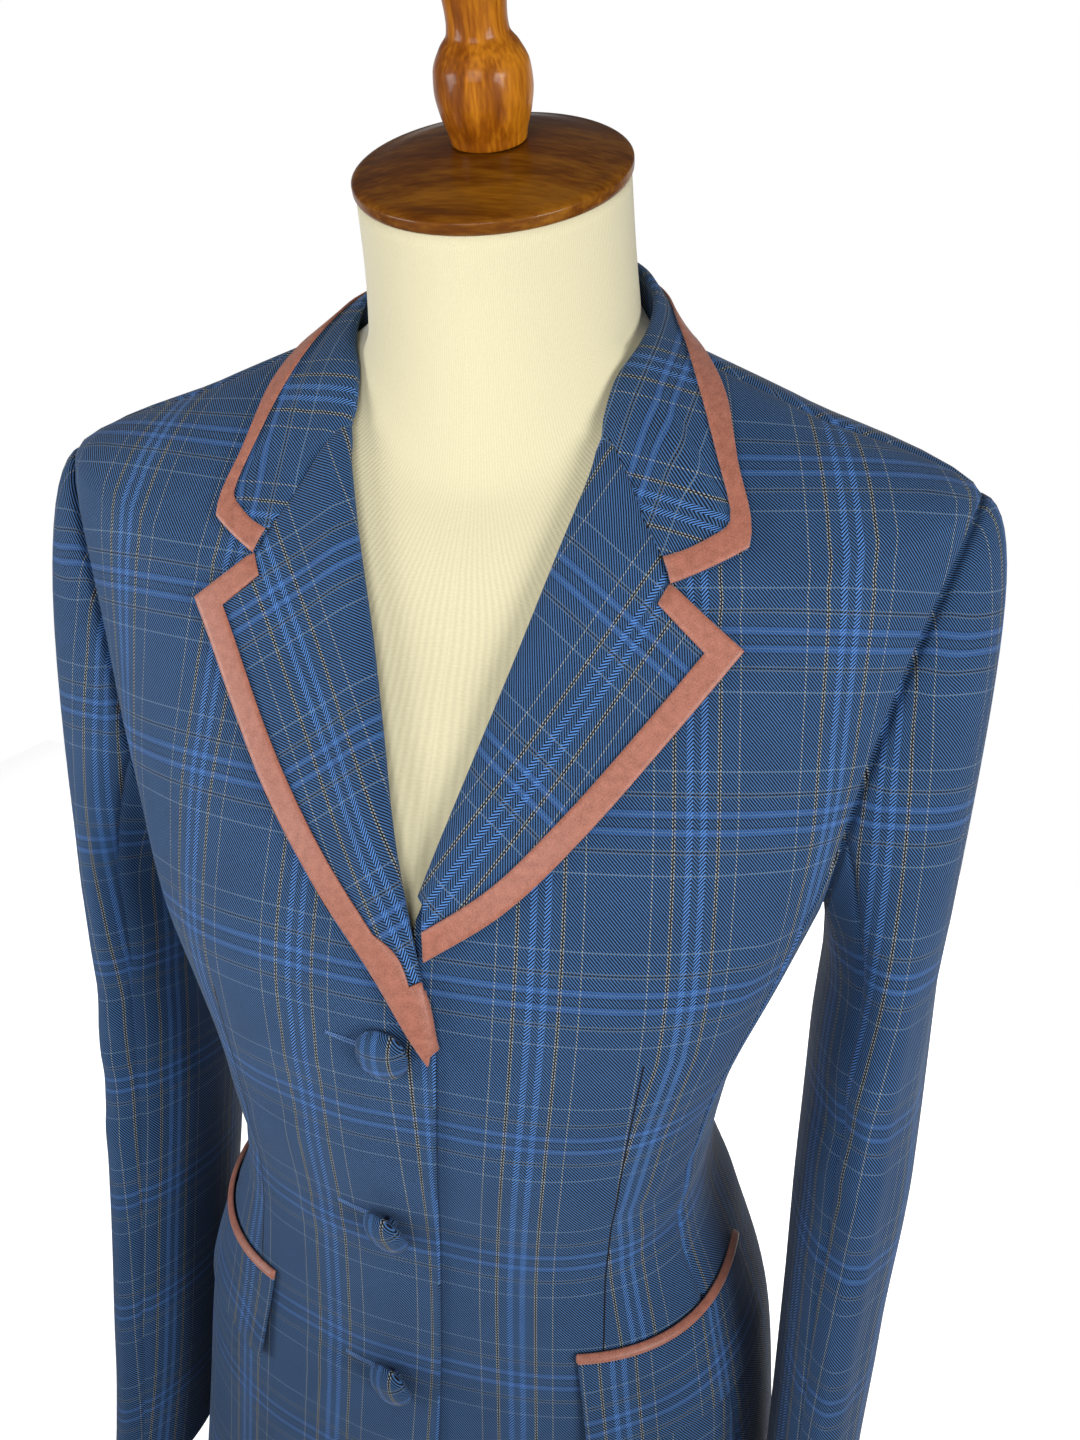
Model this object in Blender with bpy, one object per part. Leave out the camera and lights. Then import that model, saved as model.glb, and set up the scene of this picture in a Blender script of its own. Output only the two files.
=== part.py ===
"""A plaid riding show coat with satin trim, standing on a limbless dress form.

The coat is modelled as its maker cuts it. Every cloth panel is a thin wall on one body
surface, body(u, v): u turns round the figure and v climbs through a short table of
sections. Sleeves, lapels, collar and pockets start from that surface's own points.

Sizes are in millimetres and are scaled to metres as the meshes are made. The front faces
-Y, +Z is up, the wearer's left is +X, and the origin is on the floor under the form.
"""

import math
from collections import namedtuple

import bmesh
import bpy
import numpy as np
from mathutils import Vector

MM = 0.001

# Cloth
CLOTH = 2.0              # wool wall
LAPEL_CLOTH = 1.5        # lapel and collar wall
SATIN = 1.0              # trim wall
SEAM = 0.3               # gap between sewn pieces
REST = 0.7               # gap under a piece that lies on a panel

# Front closure
OVERLAP = 14.0           # front edge past the centre front
OVERLAP_LIFT = 3.0       # the upper front stands this far over the lower one
LIFT_NEAR = 16.0         # full lift to this x, none past the next
LIFT_FAR = 64.0
LIFT_LOW_Z = 1250.0      # full lift below this height, none above the next
LIFT_HIGH_Z = 1310.0
ROLL_BREAK_Z = 1185.0    # where the lapel starts to turn back
GORGE_X = 53.0           # top of the roll line, at the collar seam
GORGE_Z = 1405.0
ROLL_SETBACK = 3.5       # the front's cut edge lies this far behind the fold

# Seams, as turns round the body
FRONT_SEAM = 0.187
BACK_SEAM = 0.320
SIDE = 0.25
CENTRE_BACK = 0.5
SHOULDER_FORWARD = 0.03      # the shoulder seam comes this far forward of the ridge,
SHOULDER_FORWARD_ROWS = 0.8  # within so many rows of the tip

# Armhole, an oval on the body surface between the underarm and the shoulder tip
ARM_MIDDLE = 7.70
ARM_REACH = 1.30
ARM_FRONT = 0.070
ARM_BACK = 0.085
ARM_ROUND = 0.4

# Sleeve head: how strongly the cloth leaves the armhole and comes down into the arm
CAP_LEAVE = 0.40
CAP_ARRIVE = 0.75
CAP_FORWARD = 0.35
CAP_DROP_TOP = 0.12
CAP_DROP_FOOT = 0.75
CAP_FLATTEN = 0.5

# Lapel and collar
FOLD_WALL = 1.4          # the fold's inner wall stops this far short of its edge
FOLD_BACK = 0.8          # its outer wall starts this far behind the edge
FOLD_RISE = 1.8
FOLD_START = 0.5
ROLL_FULLNESS = 2.0      # the roll stands up this far, so far from the fold and so wide
ROLL_CREST = 9.0
ROLL_SPREAD = 10.0
FIRST_COLUMN = 2.0       # the first column after the fold
GORGE_BEND_POWER = 6.0
COLLAR_REST = 1.6
COLLAR_LEAN = 0.2        # the stand leans in to the neck
COLLAR_OUT = 0.40        # the fall leaves its fold outward and downward
COLLAR_DOWN = 0.60
COLLAR_TOP_PULL = 0.30
COLLAR_EDGE_PULL = 0.35

# Trim and pockets
TRIM_WIDTH = 10.5
POCKET_Z = 1002.0
POCKET_FRONT = 0.076
POCKET_BACK = 0.243
FLAP_HEIGHT = 50.0
FLAP_OFF = 1.0
FLAP_GAPE = 3.0          # the flap's front edge stands off, over this share of its width
FLAP_GAPE_WIDTH = 0.10
PIPING_HEIGHT = 6.5
PIPING_EDGE = 1.0
PIPING_FULLNESS = 2.0

# Buttons on the upper front
BUTTON_X = -7.5
BUTTON_TOP_Z = 1171.0
BUTTON_SPACING = 96.0
BUTTON_RADIUS = 12.2
BUTTON_HEIGHT = 8.0
BUTTON_SINK = 0.5        # a front's flat facets lie this far under its smooth surface

# The shoulders are turned a little against the hips
SHOULDER_TURN = 3.4
TURN_AXIS_Y = -70.0
TURN_FROM_Z = 1020.0
TURN_TO_Z = 1340.0

# Dress form and stand
NECK_TILT = 28.0
NECK_TOP = (0.0, -21.0, 1512.5)
FORM_BOTTOM_Z = 790.0
BASE_RADIUS = 195.0
BASE_HEIGHT = 26.0
POLE_RADIUS = 17.0

Section = namedtuple("Section", "name z_front z_side z_back half_width front back side_y sq_front sq_back")
SECTIONS = [
    Section("hem", 735, 735, 735, 180, 152, 146, 0, 2.4, 2.3),
    Section("skirt", 840, 840, 840, 172, 142, 134, 0, 2.4, 2.3),
    Section("hip", 930, 930, 930, 162, 132, 120, -4, 2.5, 2.3),
    Section("high_hip", 1000, 1000, 1000, 140, 127, 104, -8, 2.7, 2.3),
    Section("waist", 1055, 1055, 1055, 122, 128, 90, -12, 2.8, 2.3),
    Section("ribs", 1115, 1115, 1115, 129, 134, 92, -14, 2.8, 2.3),
    Section("bust", 1185, 1185, 1185, 153, 137, 98, -14, 2.7, 2.3),
    Section("underarm", 1250, 1250, 1250, 178, 125, 106, -10, 2.4, 2.3),
    Section("chest", 1296, 1315, 1318, 197, 106, 110, -8, 2.2, 2.4),
    Section("tip", 1334, 1396, 1388, 212, 87, 106, -10, 2.0, 2.3),
    Section("shoulder", 1368, 1429, 1434, 136, 73, 88, -1, 2.0, 2.2),
    Section("neck", 1396, 1455, 1466, 72, 59, 62, 4, 2.0, 2.0),
]
TOP = len(SECTIONS) - 1
TIP = ARM_MIDDLE + ARM_REACH

# Gap from the coat's inside to the form, by section
Ease = namedtuple("Ease", "name front side back")
EASES = [
    Ease("hem", 14, 16, 14),
    Ease("skirt", 12, 14, 12),
    Ease("hip", 10, 12, 10),
    Ease("high_hip", 9, 10, 9),
    Ease("waist", 8, 8, 8),
    Ease("ribs", 5, 7, 7),
    Ease("bust", 1.5, 6, 5),
    Ease("underarm", 2.0, 8, 4),
    Ease("chest", 3, 14, 3),
    Ease("tip", 4, 16, 2.5),
    Ease("shoulder", 4, 2.8, 2.0),
    Ease("neck", 4, 2.2, 1.5),
]

# Neck rings, measured down its leaning axis from the top
Neck = namedtuple("Neck", "name below_top back radius")
NECKS = [
    Neck("low", 58.0, -6.0, 60.5),
    Neck("middle", 30.0, -2.0, 58.0),
    Neck("top", 0.0, 0.0, 56.5),
]

# How far each button leans on its shank
Button = namedtuple("Button", "name tilt")
BUTTONS = [Button("upper", 7.0), Button("middle", 24.0), Button("lower", 24.0)]
SHANK_RADIUS = 2.5

# Turned profiles, as radius and height from the top down
CAP_PROFILE = [
    (0.0, 14.0),
    (17.0, 13.6),
    (36.0, 11.0),
    (50.0, 7.6),
    (55.5, 6.2),
    (57.6, 4.4),
    (57.6, 2.0),
    (56.4, 0.0),
    (0.0, 0.0),
]

FINIAL_PROFILE = [
    (0.0, 158.0),
    (5.0, 157.0),
    (10.0, 153.0),
    (14.0, 144.0),
    (15.0, 134.0),
    (12.5, 124.0),
    (8.0, 117.0),
    (7.5, 113.0),
    (11.0, 110.0),
    (11.0, 106.0),
    (9.0, 103.0),
    (14.5, 84.0),
    (14.8, 74.0),
    (13.0, 56.0),
    (11.6, 42.0),
    (12.0, 38.0),
    (15.5, 33.0),
    (18.8, 26.0),
    (19.4, 19.0),
    (18.2, 11.0),
    (16.0, 4.0),
    (15.0, 0.0),
    (0.0, 0.0),
]

BASE_PROFILE = [
    (0.0, BASE_HEIGHT),
    (BASE_RADIUS - 30.0, BASE_HEIGHT),
    (BASE_RADIUS - 12.0, BASE_HEIGHT - 4.0),
    (BASE_RADIUS - 2.0, BASE_HEIGHT - 12.0),
    (BASE_RADIUS, 6.0),
    (BASE_RADIUS, 0.0),
    (0.0, 0.0),
]

# Sleeve sections below the armhole
Sleeve = namedtuple("Sleeve", "name z middle_x middle_y half_x half_y squareness")
SLEEVES = [
    Sleeve("biceps", 1172, 194, -4, 27, 70, 1.9),
    Sleeve("upper_arm", 1130, 193, -8, 28, 69, 1.85),
    Sleeve("elbow", 1080, 193, -17, 28, 66, 1.8),
    Sleeve("forearm", 1000, 192, -29, 25, 62, 1.8),
    Sleeve("wrist", 890, 192, -46, 23, 58, 1.8),
    Sleeve("cuff", 790, 197, -58, 22, 55, 1.8),
]

# Soft folds of the sleeve: where they lie, how deep and how large they are
Fold = namedtuple("Fold", "name turn z depth turn_width height")
SLEEVE_FOLDS = [
    Fold("inner_elbow_upper", 0.30, 1118, 3.0, 0.10, 16),
    Fold("inner_elbow_lower", 0.27, 1068, 2.5, 0.11, 18),
    Fold("front_crease", 0.17, 1010, 2.5, 0.045, 150),
    Fold("back_elbow", 0.66, 1085, 2.2, 0.09, 22),
    Fold("underarm", 0.36, 1195, 2.5, 0.08, 24),
]

# Outer edges of the lapels in the front view, up to the tip; x grows away from the centre front
Edge = namedtuple("Edge", "along x z")
LAPEL_EDGES = {
    "left": [
        Edge(0.00, 8, 1214),
        Edge(0.21, 37, 1236),
        Edge(0.48, 66, 1268),
        Edge(0.78, 97, 1308),
        Edge(1.00, 119, 1338),
    ],
    "right": [
        Edge(0.00, -9, 1177),
        Edge(0.16, 10, 1202),
        Edge(0.40, 42, 1239),
        Edge(0.65, 75, 1279),
        Edge(1.00, 114, 1341),
    ],
}
NOTCH_X = 88.5               # where lapel and collar part, at the end of the gorge seam
NOTCH_Z = 1361.0
LAPEL_FOOT_Z = {"left": 1238.0, "right": 1187.0}
UPPER_FRONT = "right"

# Collar: along runs from the centre back (0) past its tip to the notch (1)
Collar = namedtuple("Collar", "along stand u v")
COLLAR_TIP_ALONG = 0.86
COLLARS = [
    Collar(0.00, 31, 0.500, 10.40),
    Collar(0.20, 30, 0.425, 10.46),
    Collar(0.40, 28, 0.350, 10.70),
    Collar(0.58, 20, 0.258, 10.81),
    Collar(0.74, 9, 0.163, 10.26),
    Collar(COLLAR_TIP_ALONG, 5, 0.106, 9.49),
]
NECK_CORNER_ALONG = 0.70     # where the collar seam leaves the neckline for the roll line
UPRIGHT_TO = 0.60            # the stand is upright to here, and lies down by the notch
LOOSE_TO = 0.74              # the fall hangs clear to here, and lies on the front by the notch

SIDES = ("left", "right")

# How finely the pieces are divided
LOWER_ROWS = 14
ARM_ROWS = 8
SHOULDER_ROWS = 6
SHOULDER_CROWDING = 1.8      # rows stand closer together towards the neck
SIDE_COLUMNS = 6
FRONT_COLUMNS = 9
BACK_COLUMNS = 7
CAP_ROWS = 7
TUBE_ROWS = 11
LAPEL_ROWS = 12
GORGE_COLUMNS = 3
TIP_COLUMNS = 1
COLLAR_ROWS = 14
COLLAR_TIP_ROWS = 2
COLLAR_COLUMNS = 5
FLAP_ROWS = 3
PIPING_ROWS = 4
POCKET_COLUMNS = 9
FORM_ROWS = 16
FORM_COLUMNS = 36
BUTTON_STEPS = 16
CAP_STEPS = 32
STAND_STEPS = 20
BASE_STEPS = 40

Finish = namedtuple("Finish", "colour roughness metallic")
FINISHES = {
    "plaid_wool": Finish((0.030, 0.065, 0.150), 0.85, 0.0),
    "satin": Finish((0.370, 0.150, 0.115), 0.45, 0.0),
    "jersey": Finish((0.820, 0.740, 0.540), 0.90, 0.0),
    "stained_wood": Finish((0.220, 0.070, 0.022), 0.35, 0.0),
}


def clear_scene():
    for item in list(bpy.data.objects):
        bpy.data.objects.remove(item, do_unlink=True)


def soft_step(start, end, value):
    t = np.clip((value - start) / (end - start), 0.0, 1.0)
    return t * t * (3.0 - 2.0 * t)


def unit(vectors):
    return vectors / (np.linalg.norm(vectors, axis=-1, keepdims=True) + 1e-12)


def mix(a, b, t):
    return a + (b - a) * t


def smooth_through(knots, values, at):
    """A cubic through the values that never overshoots them; values are (n,) or (n, k)."""
    knots = np.asarray(knots, float)
    values = np.asarray(values, float)
    at = np.clip(np.asarray(at, float), knots[0], knots[-1])
    flat = values.ndim == 1
    if flat:
        values = values[:, None]
    step = np.diff(knots)[:, None]
    slope = np.diff(values, axis=0) / step
    tangent = np.zeros_like(values)
    tangent[0] = slope[0]
    tangent[-1] = slope[-1]
    before = 2.0 * step[1:] + step[:-1]
    after = step[1:] + 2.0 * step[:-1]
    with np.errstate(divide="ignore", invalid="ignore"):
        harmonic = (before + after) / (before / slope[:-1] + after / slope[1:])
    tangent[1:-1] = np.where(slope[:-1] * slope[1:] > 0.0, harmonic, 0.0)
    span = np.clip(np.searchsorted(knots, at, side="right") - 1, 0, len(knots) - 2)
    width = (knots[span + 1] - knots[span])[..., None]
    t = (at - knots[span])[..., None] / width
    result = (
        values[span] * (1.0 - t) ** 2 * (1.0 + 2.0 * t)
        + values[span + 1] * t ** 2 * (3.0 - 2.0 * t)
        + tangent[span] * width * t * (1.0 - t) ** 2
        - tangent[span + 1] * width * t ** 2 * (1.0 - t)
    )
    return result[..., 0] if flat else result


def table_at(rows, at, first=1):
    """The number columns of a table, from column first on, at a row number."""
    numbers = np.array([row[first:] for row in rows], float)
    return np.moveaxis(smooth_through(np.arange(len(rows)), numbers, at), -1, 0)


def body(u, v):
    """The coat's outer surface: u is 0 at the centre front, 0.25 at the side, 0.5 behind."""
    u, v = np.broadcast_arrays(np.asarray(u, float), np.asarray(v, float))
    z_front, z_side, z_back, half_width, front, back, side_y, sq_front, sq_back = table_at(SECTIONS, v)
    turn = (u + 0.5) % 1.0 - 0.5
    across = np.sin(np.abs(turn) * 2.0 * math.pi)
    along = np.cos(turn * 2.0 * math.pi)
    ahead = along >= 0.0
    power = 2.0 / np.where(ahead, sq_front, sq_back)
    depth = np.abs(along) ** power
    x = np.sign(turn) * half_width * np.abs(across) ** power
    y = np.where(ahead, side_y - (front + side_y) * depth, side_y + (back - side_y) * depth)
    z = z_side + np.where(ahead, z_front - z_side, z_back - z_side) * along ** 2
    return np.stack([x, y, z], axis=-1)


def body_normal(u, v):
    small_turn = 0.002
    small_row = 0.02
    round_it = body(u + small_turn, v) - body(u - small_turn, v)
    up_it = body(u, v + small_row) - body(u, v - small_row)
    return unit(np.cross(round_it, up_it))


def turn_at_x(x, v):
    """The turn, near the front, at which row v is x from the centre."""
    half_width = table_at(SECTIONS, v)[3]
    sq_front = table_at(SECTIONS, v)[7]
    share = np.clip(np.abs(x) / half_width, 0.0, 1.0)
    return np.sign(x) * np.arcsin(share ** (sq_front / 2.0)) / (2.0 * math.pi)


def front_view(x, z):
    """Turn and row of the surface point that stands at x, z in the front view."""
    rows = np.linspace(0.0, TOP, 700)
    v = np.interp(z, table_at(SECTIONS, rows)[0], rows)
    u = turn_at_x(x, v)
    step = 0.01
    for _ in range(12):
        below = np.minimum(v, TOP - step)
        climb = (body(u, below + step) - body(u, below))[..., 2] / step
        v = np.clip(v + (z - body(u, v)[..., 2]) / climb, 0.0, TOP)
        u = turn_at_x(x, v)
    return u, v


def roll_x(z):
    slope = (GORGE_X + OVERLAP) / (GORGE_Z - ROLL_BREAK_Z)
    return GORGE_X + (z - GORGE_Z) * slope


def front_edge(v):
    """Turn of a front's cut edge: straight below the break, then along the roll line."""
    u = np.zeros_like(v)
    for _ in range(10):
        z = body(u, v)[..., 2]
        u = turn_at_x(np.maximum(-OVERLAP, roll_x(z) + ROLL_SETBACK), v)
    return u


def arm_width(v, reach):
    share = np.clip(1.0 - ((v - ARM_MIDDLE) / ARM_REACH) ** 2, 0.0, 1.0)
    return reach * share ** ARM_ROUND


def arm_foot(u):
    """Row at which the armhole's lower half crosses turn u."""
    reach = np.where(u < SIDE, ARM_FRONT, ARM_BACK)
    share = np.clip(np.abs(u - SIDE) / reach, 0.0, 1.0)
    return ARM_MIDDLE - ARM_REACH * np.sqrt(1.0 - share ** (1.0 / ARM_ROUND))


def armhole(angle):
    """Turn and row on the armhole: angle 0 at the shoulder tip, a quarter turn at its front."""
    rise = np.cos(angle)
    ahead = np.sin(angle) >= 0.0
    v = ARM_MIDDLE + ARM_REACH * rise
    width = arm_width(v, np.where(ahead, ARM_FRONT, ARM_BACK))
    return np.where(ahead, SIDE - width, SIDE + width), v


def corner_angle(seam, reach):
    """Armhole angle, front or back alike, at which a side seam runs into it."""
    return math.pi - math.asin((abs(seam - SIDE) / reach) ** (0.5 / ARM_ROUND))


FRONT_CORNER = corner_angle(FRONT_SEAM, ARM_FRONT)
BACK_CORNER = 2.0 * math.pi - corner_angle(BACK_SEAM, ARM_BACK)


def armhole_inward(angle):
    """In the surface, from the armhole's rim to its middle."""
    step = 0.01
    rim = body(*armhole(angle))
    along = body(*armhole(angle + step)) - body(*armhole(angle - step))
    across = unit(np.cross(along, body_normal(*armhole(angle))))
    to_middle = body(SIDE, ARM_MIDDLE) - rim
    return across * np.sign(np.sum(across * to_middle, axis=-1, keepdims=True))


def panel_lift(side, u, v):
    """The upper front rises over the lower one near the front edge."""
    if side != UPPER_FRONT:
        return np.zeros(np.broadcast(u, v).shape)
    point = body(u, v)
    near_edge = 1.0 - soft_step(LIFT_NEAR, LIFT_FAR, point[..., 0])
    below = 1.0 - soft_step(LIFT_LOW_Z, LIFT_HIGH_Z, point[..., 2])
    return OVERLAP_LIFT * near_edge * below


def panel_point(side, u, v):
    return body(u, v) + body_normal(u, v) * panel_lift(side, u, v)[..., None]


def pull_in(points, column, neighbour):
    """Move an edge column back from its seam line by half a seam gap."""
    away = unit(points[:, neighbour] - points[:, column])
    points[:, column] += away * SEAM / 2.0


def pull_from_armhole(points, rows, column, v, ahead):
    angle = np.arccos(np.clip((v[rows] - ARM_MIDDLE) / ARM_REACH, -1.0, 1.0))
    angle = angle if ahead else -angle
    points[rows, column] -= armhole_inward(angle) * SEAM / 2.0


def arm_rows(corner):
    """Armhole angles of a front's or back's rows, from the side seam up to the tip."""
    return np.linspace(corner, 0.0, ARM_ROWS + 1)


def panel_rows(corner):
    """Rows of a front or back: seam to the armhole, armhole, then shoulder."""
    arm = ARM_MIDDLE + ARM_REACH * np.cos(arm_rows(corner))
    seam = np.linspace(0.0, 1.0, LOWER_ROWS + 1) * arm[0]
    return np.concatenate([seam[:-1], arm, shoulder_rows()[1:]])


def shoulder_rows():
    """Rows from the shoulder tip to the neck, closer together where the neckline turns."""
    left = 1.0 - np.linspace(0.0, 1.0, SHOULDER_ROWS + 1)
    return mix(TOP, TIP, left ** SHOULDER_CROWDING)


def side_turns():
    return np.linspace(FRONT_SEAM, BACK_SEAM, SIDE_COLUMNS + 1)


def side_angles():
    """Armhole angles at the tops of the side panel's columns."""
    u = side_turns()
    share = np.abs(u - SIDE) / np.where(u < SIDE, ARM_FRONT, ARM_BACK)
    return math.pi - np.sign(SIDE - u) * np.arcsin(share ** (0.5 / ARM_ROUND))


def shoulder_turn(v):
    """Turn of the shoulder seam, from the tip to the neck."""
    return SIDE - SHOULDER_FORWARD * np.clip((v - TIP) / SHOULDER_FORWARD_ROWS, 0.0, 1.0)


def front_panel(side, columns):
    v = panel_rows(FRONT_CORNER)
    corner = v[LOWER_ROWS]
    above = np.where(v < TIP, SIDE - arm_width(v, ARM_FRONT), shoulder_turn(v))
    outer_edge = np.where(v <= corner, FRONT_SEAM, above)
    share = np.linspace(0.0, 1.0, columns + 1)
    u = mix(front_edge(v)[:, None], outer_edge[:, None], share[None, :])
    v_grid = np.broadcast_to(v[:, None], u.shape)
    points = panel_point(side, u, v_grid)
    normals = body_normal(u, v_grid)
    seam_rows = (v <= corner) | (v >= TIP)
    pulled = points.copy()
    pull_in(pulled, -1, -2)
    points[seam_rows, -1] = pulled[seam_rows, -1]
    pull_from_armhole(points, (v > corner) & (v <= TIP), -1, v, True)
    return points, normals


def back_panel(columns):
    v = panel_rows(2.0 * math.pi - BACK_CORNER)
    corner = v[LOWER_ROWS]
    above = np.where(v < TIP, SIDE + arm_width(v, ARM_BACK), shoulder_turn(v))
    outer_edge = np.where(v <= corner, BACK_SEAM, above)
    share = np.linspace(0.0, 1.0, columns + 1)
    u = mix(outer_edge[:, None], CENTRE_BACK, share[None, :])
    v_grid = np.broadcast_to(v[:, None], u.shape)
    points = body(u, v_grid)
    normals = body_normal(u, v_grid)
    seam_rows = (v <= corner) | (v >= TIP)
    pulled = points.copy()
    pull_in(pulled, 0, 1)
    points[seam_rows, 0] = pulled[seam_rows, 0]
    pull_from_armhole(points, (v > corner) & (v <= TIP), 0, v, False)
    points[:, -1, 0] = SEAM / 2.0
    return points, normals


def side_panel():
    u = side_turns()
    share = np.linspace(0.0, 1.0, LOWER_ROWS + 1)
    v_grid = share[:, None] * arm_foot(u)[None, :]
    u_grid = np.broadcast_to(u[None, :], v_grid.shape)
    points = body(u_grid, v_grid)
    normals = body_normal(u_grid, v_grid)
    pull_in(points, 0, 1)
    pull_in(points, -1, -2)
    points[-1] -= armhole_inward(side_angles()) * SEAM / 2.0
    return points, normals


def sleeve_ring(z, angle):
    rows = np.interp(-z, [-row.z for row in SLEEVES], np.arange(len(SLEEVES)))
    _, middle_x, middle_y, half_x, half_y, squareness = table_at(SLEEVES, rows)
    across = np.cos(angle)
    ahead = np.sin(angle)
    x = middle_x + half_x * np.sign(across) * np.abs(across) ** (2.0 / squareness)
    y = middle_y - half_y * np.sign(ahead) * np.abs(ahead) ** (2.0 / squareness)
    return np.stack([x, y, np.broadcast_to(z, x.shape)], axis=-1)


def sleeve_cap(share, angle):
    """From the armhole (share 0), out over the sleeve head and down to the biceps (share 1)."""
    start = body(*armhole(angle)) + armhole_inward(angle) * SEAM / 2.0
    end = sleeve_ring(np.full_like(angle, SLEEVES[0].z), angle)
    reach = np.linalg.norm(end - start, axis=-1)[..., None]
    low = (1.0 - np.cos(angle)) / 2.0
    drop = CAP_DROP_TOP + CAP_DROP_FOOT * low
    leave = unit(np.stack([1.0 - CAP_FLATTEN * low, -CAP_FORWARD * np.sin(angle), -drop], axis=-1))
    arrive = np.array([0.0, 0.0, -1.0])
    t = share[..., None]
    return (
        start * (1.0 - t) ** 2 * (1.0 + 2.0 * t)
        + end * t ** 2 * (3.0 - 2.0 * t)
        + leave * reach * CAP_LEAVE * t * (1.0 - t) ** 2
        - arrive * reach * CAP_ARRIVE * t ** 2 * (1.0 - t)
    )


def sleeve_folds(points, turn):
    """How far the folds push the sleeve in at each point."""
    push = np.zeros(points.shape[:2])
    for fold in SLEEVE_FOLDS:
        across = (turn - fold.turn) / fold.turn_width
        up = (points[..., 2] - fold.z) / fold.height
        push += fold.depth * np.exp(-across ** 2 - up ** 2)
    return push


def sleeve_angles():
    """Columns round the sleeve, on the same armhole points as the panels it is sewn to."""
    front = arm_rows(FRONT_CORNER)[::-1]
    back = 2.0 * math.pi - arm_rows(2.0 * math.pi - BACK_CORNER)
    return np.concatenate([front[:-1], side_angles(), back[1:]])


def sleeve_grid():
    """The whole sleeve, rows from the armhole down and columns once round from the tip."""
    angle = sleeve_angles()
    cap_share = np.linspace(0.0, 1.0, CAP_ROWS + 1)
    tube_z = np.linspace(SLEEVES[0].z, SLEEVES[-1].z, TUBE_ROWS + 1)[1:]
    cap = [sleeve_cap(np.full_like(angle, share), angle) for share in cap_share]
    tube = [sleeve_ring(np.full_like(angle, z), angle) for z in tube_z]
    points = np.array(cap + tube)
    normals = ring_normals(points)
    points = points - normals * sleeve_folds(points, angle / (2.0 * math.pi))[..., None]
    normals = ring_normals(points)
    normals[0] = body_normal(*armhole(angle))
    return points, normals


def ring_normals(points):
    """Outward normals of a grid whose last column repeats its first."""
    wrapped = np.concatenate([points[:, -2:-1], points, points[:, 1:2]], axis=1)
    return -grid_normals(wrapped)[:, 1:-1]


def sleeve_pieces():
    """Top sleeve and under sleeve, cut from the whole one at the two sleeve seams."""
    points, normals = sleeve_grid()
    front = ARM_ROWS
    back = ARM_ROWS + SIDE_COLUMNS
    under = points[:, front:back + 1].copy()
    top = np.concatenate([points[:, back:-1], points[:, :front + 1]], axis=1)
    for piece in (under, top):
        pull_in(piece, 0, 1)
        pull_in(piece, -1, -2)
    top_normals = np.concatenate([normals[:, back:-1], normals[:, :front + 1]], axis=1)
    return (top, top_normals), (under, normals[:, front:back + 1])


def grid_normals(points):
    return unit(np.cross(np.gradient(points, axis=0), np.gradient(points, axis=1)))


def lapel_rows(side, rows):
    """Front-view places of the rows on a lapel's outer edge, and their share of its length."""
    table = LAPEL_EDGES[side]
    places = np.array([[row.x, row.z] for row in table], float)
    dense = smooth_through([row.along for row in table], places, np.linspace(0.0, 1.0, 200))
    steps = np.linalg.norm(np.diff(dense, axis=0), axis=-1)
    length = np.concatenate([[0.0], np.cumsum(steps)])
    stops = np.append(np.linspace(0.0, length[-1] - TRIM_WIDTH, rows), length[-1])
    place = np.stack([np.interp(stops, length, dense[:, k]) for k in range(2)], axis=-1)
    return place, stops / length[-1]


def roll_edge(z):
    """Turn and row of the front's cut edge at heights z."""
    return front_view(roll_x(z) + ROLL_SETBACK, z)


def fold_points(stand):
    """The fold in its own plane: how far past the cut edge, and how far out from the cloth."""
    stand = np.asarray(stand, float)
    zero = np.zeros_like(stand)
    past = [zero + FOLD_START, stand - FOLD_WALL, stand, stand - FOLD_BACK]
    out = [zero - CLOTH, zero - CLOTH, zero - SEAM, zero + FOLD_RISE]
    return np.stack(past, axis=-1), np.stack(out, axis=-1)


def lapel_height(distance):
    """Outer face of a turned-back piece over the panel: full near the fold, then lying flat."""
    return REST + LAPEL_CLOTH + ROLL_FULLNESS * np.exp(-((distance - ROLL_CREST) / ROLL_SPREAD) ** 2)


def inner_and_first(length, slant):
    """Shares of a row at the trim's inner edge and at the first column after the fold."""
    width = np.minimum(TRIM_WIDTH / np.maximum(slant, 0.5), 0.7 * length)
    return 1.0 - width / length, np.minimum(FIRST_COLUMN / length, 0.15)


def row_shares(foot, edge, edge_tangent, columns):
    """Where the columns cross each row, the last but one on the trim's inner edge."""
    across = edge - foot
    length = np.linalg.norm(across, axis=-1)
    slant = np.linalg.norm(np.cross(unit(across), edge_tangent), axis=-1)
    inner, first = inner_and_first(length, slant)
    shares = first[:, None] + (inner - first)[:, None] * np.linspace(0.0, 1.0, columns)[None, :]
    return np.concatenate([shares, np.ones((len(foot), 1))], axis=1), length


def edge_tangents(points, corner):
    """Unit tangents along an edge; the corner takes the mean of its two sides."""
    tangent = unit(np.gradient(points, axis=0))
    ahead = unit(points[corner + 1] - points[corner])
    behind = unit(points[corner] - points[corner - 1])
    tangent[corner + 1:] = ahead
    tangent[corner - 1] = behind
    tangent[corner] = unit(ahead + behind)
    return tangent


def gorge_line(gorge, tip, share):
    """The lapel's top: straight from the gorge to the notch, then straight to the tip."""
    notch = np.array([NOTCH_X, NOTCH_Z])
    turn = notch_share(gorge, tip)
    before = mix(gorge, notch, np.clip(share / turn, 0.0, 1.0)[:, None])
    after = mix(notch, tip, np.clip((share - turn) / (1.0 - turn), 0.0, 1.0)[:, None])
    return np.where((share > turn)[:, None], after, before)


def notch_share(gorge, tip):
    notch = np.array([NOTCH_X, NOTCH_Z])
    to_notch = np.linalg.norm(notch - gorge)
    return to_notch / (to_notch + np.linalg.norm(tip - notch))


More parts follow.
